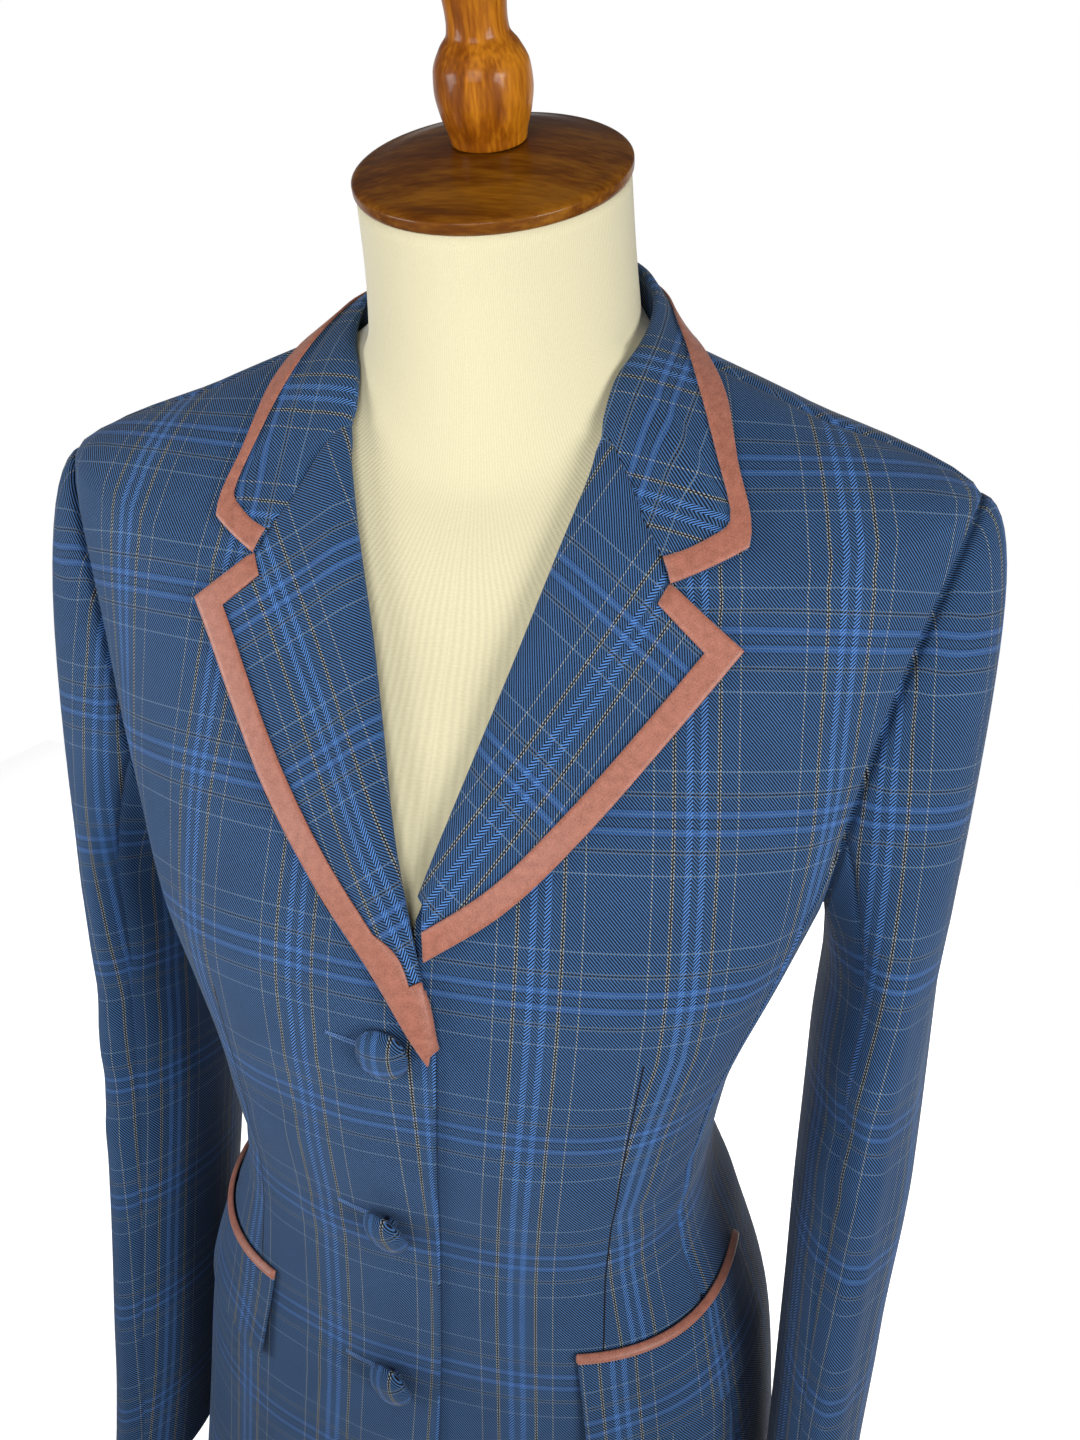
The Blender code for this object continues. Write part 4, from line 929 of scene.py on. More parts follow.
def folded(foot, past, out, stand):
    """The points round each row's fold, which stands past its foot and then comes out."""
    stand = np.asarray(stand, float)[:, None]
    share = np.linspace(0.0, 1.0, FOLD_STEPS + 1)
    wall = mix(FOLD_START, stand - FOLD_WALL, share[None, :])
    first = stand - FOLD_WALL * (1.0 - np.sin(share[1:] * math.pi / 2.0))[None, :]
    second = stand - FOLD_BACK * (share[1:] ** 2)[None, :]
    far = np.concatenate([wall, first, second], axis=1)
    high = np.concatenate([
        np.full(len(share), -CLOTH),
        mix(-CLOTH, -SEAM, 1.0 - np.cos(share[1:] * math.pi / 2.0)),
        mix(-SEAM, FOLD_RISE, share[1:]),
    ])
    return foot[:, None] + past[:, None] * far[..., None] + out[:, None] * high[None, :, None]


def lapel_height(distance):
    """Outer face of a turned-back piece over the panel: full near the fold, then lying flat."""
    return REST + LAPEL_CLOTH + ROLL_FULLNESS * np.exp(-((distance - ROLL_CREST) / ROLL_SPREAD) ** 2)


def inner_and_first(length, slant):
    """Shares of a row at the trim's inner edge and at the first column after the fold."""
    width = np.minimum(TRIM_WIDTH / np.maximum(slant, TRIM_SINE_LEAST), TRIM_MOST * length)
    return 1.0 - width / length, np.minimum(FIRST_COLUMN / length, FIRST_COLUMN_MOST)


def with_trim(shares, inner):
    """A row's shares, and then those across its trim."""
    across = np.linspace(0.0, 1.0, TRIM_COLUMNS + 1)[1:]
    return np.concatenate([shares, mix(inner[:, None], 1.0, across[None, :])], axis=1)


def row_shares(foot, edge, edge_tangent):
    """Where the columns cross each row of the collar."""
    across = edge - foot
    length = np.linalg.norm(across, axis=-1)
    slant = np.linalg.norm(np.cross(unit(across), edge_tangent), axis=-1)
    inner, first = inner_and_first(length, slant)
    part = np.linspace(0.0, 1.0, COLLAR_COLUMNS)
    return with_trim(mix(first[:, None], inner[:, None], part[None, :]), inner), length


def edge_tangents(points, corner):
    """Unit tangents along an edge; the corner takes the mean of its two sides."""
    tangent = unit(np.gradient(points, axis=0))
    ahead = unit(points[corner + 1] - points[corner])
    behind = unit(points[corner] - points[corner - 1])
    tangent[corner + 1:] = ahead
    tangent[corner - 1] = behind
    tangent[corner] = unit(ahead + behind)
    return tangent


def notch_share(gorge, tip):
    """How far along the lapel's top its notch is."""
    notch = np.array([NOTCH_X, NOTCH_Z])
    to_notch = np.linalg.norm(notch - gorge)
    return to_notch / (to_notch + np.linalg.norm(tip - notch))


def gorge_line(gorge, tip, share):
    """The lapel's top: straight from the gorge to the notch, then straight to the tip."""
    notch = np.array([NOTCH_X, NOTCH_Z])
    turn = notch_share(gorge, tip)
    before = mix(gorge, notch, np.clip(share / turn, 0.0, 1.0)[:, None])
    after = mix(notch, tip, np.clip((share - turn) / (1.0 - turn), 0.0, 1.0)[:, None])
    return np.where((share > turn)[:, None], after, before)


def trim_open(side, climb):
    """How open the cloth is between the fold and the trim, row by row: 0 where the trim takes it all."""
    if side != UPPER_FRONT:
        return np.ones(len(climb))
    return np.clip((climb - TRIM_CLOSE_TO) / (TRIM_CLOSE_FROM - TRIM_CLOSE_TO), 0.0, 1.0)


def lapel_shares(foot, edge, open_share):
    """Where the columns cross each row: one reaches the notch, and the last lie on the trim."""
    across = edge - foot
    length = np.linalg.norm(across, axis=-1)
    tangent = unit(np.gradient(edge, axis=0))
    slant = np.abs(across[:, 0] * tangent[:, 1] - across[:, 1] * tangent[:, 0]) / length
    inner, first = inner_and_first(length, slant)
    inner = mix(np.minimum(inner, TRIM_CLOSE_KEEP / length), inner, open_share)
    first = np.minimum(first, inner * TRIM_CLOSE_FIRST)
    at_notch = (notch_share(foot[-1], edge[-1]) - first[-1]) / (inner[-1] - first[-1])
    part = np.concatenate([
        np.linspace(0.0, at_notch, GORGE_COLUMNS + 1),
        np.linspace(at_notch, 1.0, TIP_COLUMNS + 1)[1:],
    ])
    return with_trim(mix(first[:, None], inner[:, None], part[None, :]), inner), length


def lapel(side):
    """A lapel's outer points: its rows climb the roll line, its columns cross to the outer edge."""
    edge, climb = lapel_rows(side)
    foot_z = mix(LAPEL_FOOT_Z[side], GORGE_Z, climb)
    foot_place = np.stack([roll_x(foot_z) + ROLL_SETBACK, foot_z], axis=-1)
    shares, length = lapel_shares(foot_place, edge, trim_open(side, climb))
    place = mix(foot_place[:, None], edge[:, None], shares[..., None])
    bend = gorge_line(foot_place[-1], edge[-1], shares[-1]) - place[-1]
    near = (climb ** GORGE_BEND_POWER)[:, None]
    place = place + near[..., None] * bend
    u, v = front_view(place[..., 0], place[..., 1])
    foot_u, foot_v = front_view(foot_place[:, 0], foot_z)
    to_notch = shares[-1] / notch_share(foot_place[-1], edge[-1])
    on_seam = to_notch <= 1.0 + NOTCH_SLACK
    notch_u, notch_v = front_view(np.array(NOTCH_X), np.array(NOTCH_Z))
    u = u + near * np.where(on_seam, mix(foot_u[-1], notch_u, to_notch) - u[-1], 0.0)
    v = v + near * np.where(on_seam, mix(foot_v[-1], notch_v, to_notch) - v[-1], 0.0)
    foot = panel_point(side, foot_u, foot_v)
    out = body_normal(foot_u, foot_v)
    past = unit(np.cross(out, np.gradient(foot, axis=0)))
    fold = folded(foot, past, out, lapel_stand(side, climb))
    height = lapel_height(shares * length[:, None])
    fall = panel_point(side, u, v) + body_normal(u, v) * height[..., None]
    points = np.concatenate([fold, fall], axis=1)
    sewn = slice(0, fold.shape[1] + GORGE_COLUMNS + 1)
    points[-1, sewn] += unit(points[-2, sewn] - points[-1, sewn]) * SEAM
    normals = -grid_normals(points)
    sunk = np.zeros(points.shape[1])
    sunk[sewn] = 1.0
    sink_edge(points, normals, 0, True, sunk, GORGE_DROP)
    return points, normals


def lapel_stand(side, climb):
    """How far a lapel's fold stands past the cut edge; the upper one runs out at its foot."""
    if side != UPPER_FRONT:
        return np.full(len(climb), ROLL_SETBACK)
    return mix(FOOT_STAND, ROLL_SETBACK, soft_step(0.0, FOOT_STAND_TO, climb))


def collar_seam(along):
    """Turn and row where the collar joins the coat: round the neckline, then down the roll line."""
    corner_u = float(front_edge(np.array([float(TOP)]))[0])
    corner_z = float(body(corner_u, TOP)[2])
    neck_u = mix(CENTRE_BACK, corner_u, np.clip(along / NECK_CORNER_ALONG, 0.0, 1.0))
    down = np.clip((along - NECK_CORNER_ALONG) / (1.0 - NECK_CORNER_ALONG), 0.0, 1.0)
    z = mix(corner_z, GORGE_Z, down)
    roll_u, roll_v = front_view(roll_x(z) + ROLL_SETBACK, z)
    on_roll = along > NECK_CORNER_ALONG
    return np.where(on_roll, roll_u, neck_u), np.where(on_roll, roll_v, float(TOP))


def collar_edge(side, along):
    """Stand height, and turn and row of the outer edge: a curve to the tip, then straight."""
    knots = np.array([row.along for row in COLLARS[side]])
    places = np.array([row[1:] for row in COLLARS[side]], float)
    notch = np.array([ROLL_SETBACK, *front_view(np.array(NOTCH_X), np.array(NOTCH_Z))])
    curve = smooth_through(knots, places, along)
    down = np.clip((along - COLLAR_TIP_ALONG) / (1.0 - COLLAR_TIP_ALONG), 0.0, 1.0)
    straight = mix(places[-1], notch, down[:, None])
    return np.where((along > COLLAR_TIP_ALONG)[:, None], straight, curve).T


def half_collar(side):
    """One half as on the wearer's left, from the centre back to the gorge seam."""
    back = np.linspace(0.0, COLLAR_TIP_ALONG, COLLAR_ROWS + 1)
    along = np.concatenate([back, np.linspace(COLLAR_TIP_ALONG, 1.0, COLLAR_TIP_ROWS + 1)[1:]])
    foot_u, foot_v = collar_seam(along)
    stand, edge_u, edge_v = collar_edge(side, along)
    foot = body(foot_u, foot_v)
    edge = body(edge_u, edge_v)
    normal = body_normal(foot_u, foot_v)
    edge_normal = body_normal(edge_u, edge_v)
    in_surface = unit(np.cross(np.gradient(foot, axis=0), normal))
    upright = 1.0 - soft_step(UPRIGHT_TO, 1.0, along)[:, None]
    aside = soft_step(COLLAR_LEAN_FROM, COLLAR_LEAN_TO, along)[:, None]
    lean = mix(COLLAR_LEAN_BACK, COLLAR_LEAN_SIDE, aside)
    climb = unit(np.array([0.0, 0.0, 1.0]) - normal * np.array([1.0, 1.0, 0.0]) * lean)
    past = unit(mix(in_surface, climb, upright))
    out = unit(normal - past * np.sum(normal * past, axis=-1, keepdims=True))
    fold = folded(foot, past, out, stand)
    shares, length = row_shares(foot, edge, edge_tangents(edge, COLLAR_ROWS))
    u = mix(foot_u[:, None], edge_u[:, None], shares)
    v = mix(foot_v[:, None], edge_v[:, None], shares)
    lying = body(u, v) + body_normal(u, v) * lapel_height(shares * length[:, None])[..., None]
    before = body(mix(foot_u, edge_u, COLLAR_EDGE_BEFORE), mix(foot_v, edge_v, COLLAR_EDGE_BEFORE))
    along_edge = unit(edge - before)
    lifted = edge + edge_normal * (COLLAR_REST + LAPEL_CLOTH)
    falling = collar_falling(fold[:, -1], past, out, lifted, along_edge, shares)
    loose = 1.0 - soft_step(LOOSE_TO, 1.0, along)
    points = np.concatenate([fold, mix(lying, falling, loose[:, None, None])], axis=1)
    ease_corner(points, fold.shape[1])
    points[-1] += unit(points[-2] - points[-1]) * SEAM
    return points


def ease_corner(points, fold_columns):
    """Round the fold where the neckline turns into the roll line; the outer edge stays."""
    corner = NECK_CORNER_ALONG / COLLAR_TIP_ALONG * COLLAR_ROWS
    rows = np.exp(-((np.arange(len(points)) - corner) / CORNER_EASE_ROWS) ** 2)
    number = np.arange(points.shape[1])
    columns = np.clip(1.0 - (number - fold_columns) / COLLAR_COLUMNS, 0.0, 1.0)
    columns = columns * soft_step(0.0, 2.0 * FOLD_STEPS, number)
    share = 0.5 * rows[1:-1, None, None] * columns[None, :, None]
    for _ in range(CORNER_EASE_STEPS):
        between = (points[:-2] + points[2:]) / 2.0
        points[1:-1] = mix(points[1:-1], between, share)


def collar_falling(top, past, out, edge, along_edge, shares):
    """The collar where it falls from its fold to its outer edge, a cubic curve in each row."""
    reach = np.linalg.norm(edge - top, axis=-1)[:, None]
    near_top = top + (out * COLLAR_OUT - past * COLLAR_DOWN) * reach * COLLAR_TOP_PULL
    near_edge = edge - along_edge * reach * COLLAR_EDGE_PULL
    t = shares[..., None]
    return (
        top[:, None] * (1.0 - t) ** 3
        + near_top[:, None] * 3.0 * t * (1.0 - t) ** 2
        + near_edge[:, None] * 3.0 * t ** 2 * (1.0 - t)
        + edge[:, None] * t ** 3
    )


def collar():
    left = half_collar("left")
    right = mirrored(half_collar("right"))[1:][::-1]
    points = np.concatenate([right, left])
    normals = grid_normals(points)
    sewn = np.ones(points.shape[1])
    sewn[-TRIM_COLUMNS - 1:] = 0.0
    sink_edge(points, normals, 0, True, sewn, GORGE_DROP)
    sink_edge(points, normals, 0, False, sewn, GORGE_DROP)
    return points, normals


def mirrored(points):
    return points * np.array([-1.0, 1.0, 1.0])


def turned(points):
    """The finished points, with the shoulders turned about an upright axis."""
    angle = math.radians(SHOULDER_TURN) * soft_step(TURN_FROM_Z, TURN_TO_Z, points[..., 2])
    x = points[..., 0]
    y = points[..., 1] - TURN_AXIS_Y
    across = x * np.cos(angle) - y * np.sin(angle)
    along = x * np.sin(angle) + y * np.cos(angle)
    return np.stack([across, along + TURN_AXIS_Y, points[..., 2]], axis=-1)


def row_at_height(z):
    """The row at a height, up to the underarm, where the rows are level."""
    rows = np.linspace(0.0, UNDERARM_ROW, DENSE)
    return np.interp(z, table_at(SECTIONS, rows)[1], rows)


def pocket_grid(side, rise):
    """Points and normals of the coat along the pocket, at rises above its mouth."""
    turn = np.linspace(POCKET_FRONT, POCKET_BACK, POCKET_COLUMNS + 1)
    u = np.broadcast_to(turn[None, :], (len(rise), len(turn)))
    v = np.broadcast_to(row_at_height(POCKET_Z + rise), u.shape)
    return panel_point(side, u, v), body_normal(u, v)


def pocket_flap(side):
    share = np.linspace(0.0, 1.0, POCKET_COLUMNS + 1)[None, :]
    drop = np.linspace(0.0, 1.0, FLAP_ROWS + 1)[:, None]
    points, normals = pocket_grid(side, -SEAM / 2.0 - FLAP_HEIGHT * drop)
    gape = FLAP_GAPE * drop * np.exp(-(share / FLAP_GAPE_WIDTH) ** 2)
    return points + normals * (FLAP_OFF + LAPEL_CLOTH + gape)[..., None], normals


def pocket_piping(side):
    """A rounded band over the flap, as its outer and its inner points."""
    rise = np.linspace(0.0, 1.0, PIPING_ROWS + 1)[:, None]
    points, normals = pocket_grid(side, SEAM / 2.0 + PIPING_HEIGHT * rise)
    inner = points + normals * FLAP_OFF
    height = PIPING_EDGE + PIPING_FULLNESS * np.sin(rise * math.pi)
    return inner + normals * height[..., None], inner


def form_rings():
    """Rings of the dress form: the coat's surface moved in, then the neck."""
    turn = np.arange(FORM_COLUMNS) / FORM_COLUMNS
    lower = np.linspace(float(row_at_height(FORM_BOTTOM_Z)), TIP, FORM_ROWS + 1)
    rings = []
    for row in np.concatenate([lower[:-1], shoulder_rows()]):
        v = np.full(FORM_COLUMNS, row)
        front, side, back = table_at(EASES, v)
        ahead = np.cos(turn * math.tau)
        ease = side + np.where(ahead > 0.0, front - side, back - side) * ahead ** 2
        rings.append(body(turn, v) - body_normal(turn, v) * (CLOTH + ease)[:, None])
    rings[0][:, 2] = FORM_BOTTOM_Z
    necks = table_at(NECKS, np.linspace(0.0, len(NECKS) - 1.0, NECK_RINGS))
    neck_rings = [neck_ring(*neck, turn) for neck in necks.T]
    return softened(np.array(rings + neck_rings), len(rings), turn)


def softened(rings, join, turn):
    """Ease the corner between chest and neck in front, where it shows."""
    ahead = soft_step(SOFT_FROM, SOFT_TO, np.cos(turn * math.tau))[None, :, None]
    low = join - SOFT_BELOW
    high = join + SOFT_ABOVE
    for _ in range(SOFT_STEPS):
        between = (rings[low - 1:high - 1] + rings[low + 1:high + 1]) / 2.0
        rings[low:high] = mix(rings[low:high], between, 0.5 * ahead)
    return rings


def neck_axis():
    tilt = math.radians(NECK_TILT)
    return np.array([0.0, -math.sin(tilt), math.cos(tilt)])


def neck_ring(below_top, back, radius, turn):
    """A circle square to the neck's own leaning axis."""
    axis = neck_axis()
    ahead = np.array([0.0, -axis[2], axis[1]])
    centre = np.array(NECK_TOP) - axis * below_top - ahead * back
    angle = turn * math.tau
    across = np.stack([np.sin(angle), np.zeros_like(angle), np.zeros_like(angle)], axis=-1)
    return centre + (across + np.cos(angle)[:, None] * ahead) * radius


def arc_lengths(points, axis):
    """Length along each line of a grid in one direction, from its first point."""
    steps = np.linalg.norm(np.diff(points, axis=axis), axis=-1)
    first = np.zeros_like(np.take(steps, [0], axis=axis))
    return np.concatenate([first, np.cumsum(steps, axis=axis)], axis=axis)


def relaxed(points, flat, inside=None):
    """Turn and join the formed piece's triangles in the plane until they fit with least strain.

    Triangles with no corner inside the piece's outline count for little.
    """
    rows, columns = points.shape[:2]
    index = np.arange(rows * columns).reshape(rows, columns)
    a, b, c, d = index[:-1, :-1], index[:-1, 1:], index[1:, 1:], index[1:, :-1]
    ways = ((a, b, c), (a, c, d), (a, b, d), (b, c, d))
    triangles = np.concatenate([np.stack(way, axis=-1).reshape(-1, 3) for way in ways])
    counts = np.ones(len(triangles))
    if inside is not None:
        counts = np.where(inside.ravel()[triangles].any(axis=1), 1.0, OUTSIDE_SHARE)
    now = flat.reshape(-1, 2).copy()
    corner = points.reshape(-1, 3)[triangles]
    base = corner[:, 1] - corner[:, 0]
    other = corner[:, 2] - corner[:, 0]
    length = np.linalg.norm(base, axis=-1) + 1e-9
    shape = np.zeros((len(triangles), 3, 2))
    shape[:, 1, 0] = length
    shape[:, 2, 0] = np.sum(base * other, axis=-1) / length
    shape[:, 2, 1] = np.linalg.norm(np.cross(base, other), axis=-1) / length
    first = now[triangles]
    one = first[:, 1] - first[:, 0]
    two = first[:, 2] - first[:, 0]
    shape[..., 1] *= np.sign(np.sum(one[:, 0] * two[:, 1] - one[:, 1] * two[:, 0]))
    edges = []
    for k in range(3):
        near, far = (k + 1) % 3, (k + 2) % 3
        to_near = shape[:, near] - shape[:, k]
        to_far = shape[:, far] - shape[:, k]
        area = np.abs(to_near[:, 0] * to_far[:, 1] - to_near[:, 1] * to_far[:, 0]) + 1e-9
        weight = np.clip(np.sum(to_near * to_far, axis=-1) / area, LEAST_WEIGHT, MOST_WEIGHT) * counts
        edges.append((triangles[:, near], triangles[:, far], shape[:, near] - shape[:, far], weight))
    count = rows * columns
    stiff = np.zeros((count, count))
    for i, j, _, weight in edges:
        np.add.at(stiff, (i, i), weight)
        np.add.at(stiff, (j, j), weight)
        np.add.at(stiff, (i, j), -weight)
        np.add.at(stiff, (j, i), -weight)
    stiff[0] = 0.0
    stiff[0, 0] = 1.0
    solve = np.linalg.inv(stiff)
    for _ in range(FLAT_STEPS):
        along = np.zeros(len(triangles))
        aside = np.zeros(len(triangles))
        for i, j, edge, weight in edges:
            move = now[i] - now[j]
            along += weight * np.sum(edge * move, axis=-1)
            aside += weight * (edge[:, 0] * move[:, 1] - edge[:, 1] * move[:, 0])
        size = np.hypot(along, aside) + 1e-12
        cos, sin = along / size, aside / size
        pull = np.zeros((count, 2))
        for i, j, edge, weight in edges:
            placed = (cos * edge[:, 0] - sin * edge[:, 1], sin * edge[:, 0] + cos * edge[:, 1])
            for k in range(2):
                share = placed[k] * weight
                pull[:, k] += np.bincount(i, share, count) - np.bincount(j, share, count)
        pull[0] = 0.0
        now = solve @ pull
    return now.reshape(rows, columns, 2)


def picked(lengths, count, kept):
    """Numbers of evenly spaced lines of a grid, and of those that must be kept."""
    step = lengths[-1] / (count - 1)
    kept = sorted({number % len(lengths) for number in (0, *kept, -1)})
    even = np.unique(np.searchsorted(lengths, np.arange(count) * step - 1e-6))
    apart = np.abs(lengths[even][:, None] - lengths[kept][None, :]).min(axis=1) > 0.5 * step
    return np.array(sorted([*even[apart], *kept]))


def laid_flat(points, signs, upright_from, upright_to, kept=(), level=0):
    """The flat cut of a formed grid: coordinates across and up, in millimetres.

    signs say which way across and up run along the grid's columns and rows. The line
    between the two given places of the grid is set upright. kept are rows where the
    outline has a corner. Above the level row the first layout keeps that row's columns.
    """
    down = arc_lengths(points, 0)
    along = arc_lengths(points, 1)
    row_at = down.mean(axis=1)
    column_at = along.mean(axis=0)
    rows = picked(row_at, FLAT_ROWS, (*kept, level))
    columns = picked(column_at, FLAT_COLUMNS, ())
    coarse = points[np.ix_(rows, columns)]
    start = int(np.argmin(np.abs(rows - level)))
    middle = len(columns) // 2
    across = arc_lengths(coarse, 1)
    across = across - across[:, middle:middle + 1]
    across[:start] = across[start]
    up = arc_lengths(coarse, 0)
    up = up - up[start:start + 1]
    flat = relaxed(coarse, np.stack([across * signs[0], up * signs[1]], axis=-1))
    lines = np.zeros((len(points), len(columns), 2))
    breaks = [0, *sorted(kept), len(points) - 1]
    for start, end in zip(breaks[:-1], breaks[1:]):
        used = (rows >= start) & (rows <= end)
        for k, c in enumerate(columns):
            place = down[start:end + 1, c]
            lines[start:end + 1, k] = through(down[rows[used], c], flat[used, k], place)
    flat = np.stack([through(along[r, columns], lines[r], along[r]) for r in range(len(points))])
    return upright(flat, upright_from, upright_to)


def panel_flat(side, u, v, upright_column, upright_rows):
    """The flat cut of a front or back, found over evenly spaced turns and rows of the body."""
    turns = np.linspace(u.min(), u.max(), PANEL_FLAT_COLUMNS)
    levels = np.linspace(0.0, TOP, PANEL_FLAT_ROWS)
    points = panel_point(side, turns[None, :], levels[:, None])
    near = OUTSIDE_REACH * (turns[1] - turns[0])
    first = np.interp(levels, v, u[:, 0]) - near
    last = np.interp(levels, v, u[:, -1]) + near
    inside = (turns[None, :] > first[:, None]) & (turns[None, :] < last[:, None])
    middle = len(turns) // 2
    across = arc_lengths(points, 1)
    across = across - across[:, middle:middle + 1]
    flat = relaxed(points, np.stack([across, arc_lengths(points, 0)], axis=-1), inside)
    lines = through(levels, flat.reshape(len(levels), -1), v).reshape(len(v), len(turns), 2)
    flat = np.stack([through(turns, line, row) for line, row in zip(lines, u)])
    low, high = upright_rows
    return upright(flat, (low, upright_column), (high, upright_column))


def upright(flat, start, end):
    """Turn a flat cut so that the line between two places of its grid stands upright."""
    way = flat[end] - flat[start]
    lean = math.atan2(way[0], way[1])
    turn = np.array([[math.cos(lean), math.sin(lean)], [-math.sin(lean), math.cos(lean)]])
    return flat @ turn


def moved_to(flat, place, across, up):
    """Shift a flat cut so that one place of its grid is at given coordinates."""
    return flat - flat[place] + np.array([across, up])


def linear(colour):
    """A screen colour of 0 to 255 as a shader's colour."""
    share = np.array(colour, float) / 255.0
    low = share / 12.92
    high = ((share + 0.055) / 1.055) ** 2.4
    return tuple(float(x) for x in np.where(share <= 0.04045, low, high)) + (1.0,)


class Graph:
    """The nodes of a material or of the world, added and linked one after the other."""

    def __init__(self, owner, shader="Principled BSDF"):
        owner.use_nodes = True
        self.owner = owner
        self.tree = owner.node_tree
        self.shader = self.tree.nodes[shader]

    def give(self, socket, value):
        if isinstance(value, bpy.types.NodeSocket):
            self.tree.links.new(value, socket)
        else:
            socket.default_value = value

    def add(self, kind, *values, **settings):
        made = self.tree.nodes.new(kind)
        for key, value in settings.items():
            setattr(made, key, value)
        for place, value in enumerate(values):
            self.give(made.inputs[place], value)
        return made

    def math(self, operation, *values):
        return self.add("ShaderNodeMath", *values, operation=operation).outputs[0]

    def wave(self, place, length):
        return self.math("SINE", self.math("MULTIPLY", place, math.tau / length))

    def weigh(self, first, share, second, other):
        """Two values added together, each by its share."""
        return self.math("ADD", self.math("MULTIPLY", first, share), self.math("MULTIPLY", second, other))

    def ramp(self, share, stops, stepped=False):
        """A colour ramp over 0 to 1, with (place, colour) stops."""
        made = self.add("ShaderNodeValToRGB", share)
        made.color_ramp.interpolation = "CONSTANT" if stepped else "LINEAR"
        elements = made.color_ramp.elements
        elements.remove(elements[1])
        elements[0].position = stops[0][0]
        elements[0].color = stops[0][1]
        for place, colour in stops[1:]:
            elements.new(place).color = colour
        return made.outputs

    def blend(self, share, first, second):
        """A mix of two colours, which are that node's last two inputs."""
        made = self.add("ShaderNodeMix", share, data_type="RGBA")
        self.give(made.inputs[6], first)
        self.give(made.inputs[7], second)
        return made.outputs[2]

    def noise(self, vector, scale, detail=3.0):
        made = self.tree.nodes.new("ShaderNodeTexNoise")
        self.give(made.inputs["Vector"], vector)
        made.inputs["Scale"].default_value = scale
        made.inputs["Detail"].default_value = detail
        return made.outputs[0]

    def bump(self, height, distance, strength=1.0):
        made = self.tree.nodes.new("ShaderNodeBump")
        made.inputs["Strength"].default_value = strength
        made.inputs["Distance"].default_value = distance
        self.give(made.inputs["Height"], height)
        self.give(self.shader.inputs["Normal"], made.outputs[0])

    def flat_uv(self):
        made = self.add("ShaderNodeUVMap", uv_map="UVMap")
        parts = self.add("ShaderNodeSeparateXYZ", made.outputs[0])
        return made.outputs[0], parts.outputs[0], parts.outputs[1]

    def set(self, **values):
        """Give the shader its values and return what the nodes belong to."""
        for key, value in values.items():
            self.give(self.shader.inputs[key.replace("_", " ")], value)
        return self.owner


def new_finish(name):
    return Graph(bpy.data.materials.new(name))


def chart_stops(yarns, repeat):
    """A half chart as ramp stops for a whole repeat, mirrored about the group's middle."""
    starts = [yarn.start for yarn in yarns] + [repeat / 2.0]
    stops = []
    for number in range(len(yarns) - 1, -1, -1):
        stops.append((0.5 - starts[number + 1] / repeat, yarns[number]))
    for number in range(1, len(yarns)):
        stops.append((0.5 + starts[number] / repeat, yarns[number]))
    return [(place, (*linear(YARNS[yarn.colour])[:3], yarn.mark)) for place, yarn in stops]


def dart_shift(graph, u, v):
    """Close the waist dart: the plaid beyond it is moved over, and its seam shows as a line."""
    beyond = graph.math("SUBTRACT", graph.math("ABSOLUTE", u), DART_X * MM)
    middle = (DART_LOW_Z + DART_HIGH_Z) / 2.0 * MM
    half = (DART_HIGH_Z - DART_LOW_Z) / 2.0 * MM
    off = graph.math("DIVIDE", graph.math("ABSOLUTE", graph.math("SUBTRACT", v, middle)), half)
    taken = graph.math("MAXIMUM", graph.math("SUBTRACT", 1.0, off), 0.0)
    inside = graph.math("GREATER_THAN", taken, 0.0)
    near = graph.math("LESS_THAN", graph.math("ABSOLUTE", beyond), DART_LINE * MM)
    line = graph.math("MULTIPLY", inside, near)
    past = graph.math("MULTIPLY", graph.math("SIGN", u), graph.math("GREATER_THAN", beyond, 0.0))
    shift = graph.math("MULTIPLY", graph.math("MULTIPLY", past, taken), DART_TAKE * MM)
    return graph.math("ADD", u, shift), line


def plaid(name, cut, dart=False, fine=1.0):
    """The wool: coloured warp and weft yarns in a twill that turns back in the warp bars."""
    graph = new_finish(name)
    vector, u, v = graph.flat_uv()
    if dart:
        u, line = dart_shift(graph, u, v)
    across = graph.math("ADD", u, graph.math("MULTIPLY_ADD", v, cut.lean, cut.across * MM))
    up = graph.math("ADD", v, cut.up * MM)
    warp, weft = [
        graph.ramp(graph.math("FRACT", graph.math("MULTIPLY_ADD", place, 1.0 / (repeat * MM), 0.5)),
                   chart_stops(yarns, repeat), True)
        for place, yarns, repeat in ((across, WARP, WARP_REPEAT), (up, WEFT, WEFT_REPEAT))
    ]
    way = graph.math("SUBTRACT", 1.0, graph.math("MULTIPLY", warp[1], 2.0))
    rise = graph.math("MULTIPLY", graph.math("MULTIPLY", up, way), 1.0 / (TWILL_UP * fine * MM))
    phase = graph.math("MULTIPLY_ADD", across, 1.0 / (TWILL_ACROSS * fine * MM), rise)
    wave = graph.wave(phase, 1.0)
    level = graph.math("MULTIPLY_ADD", weft[1], TWILL_MARK, TWILL_LEVEL)
    float_up = graph.math("MULTIPLY_ADD", wave, TWILL_GAIN, level)
    float_up = graph.math("MINIMUM", graph.math("MAXIMUM", float_up, 0.0), 1.0)
    colour = graph.blend(float_up, weft[0], warp[0])
    if dart:
        colour = graph.blend(line, colour, linear(YARNS["black"]))
    cloudy = graph.noise(vector, 45.0)
    shade = graph.math("MULTIPLY_ADD", cloudy, 0.30, 0.85)
    made = graph.add("ShaderNodeHueSaturation", 0.5, 1.0, shade, 1.0, colour)
    graph.bump(float_up, 0.00012, 0.6)
    return graph.set(Base_Color=made.outputs[0], Roughness=0.8, Sheen_Weight=0.08,
                     Sheen_Roughness=0.5, Specular_IOR_Level=0.15)


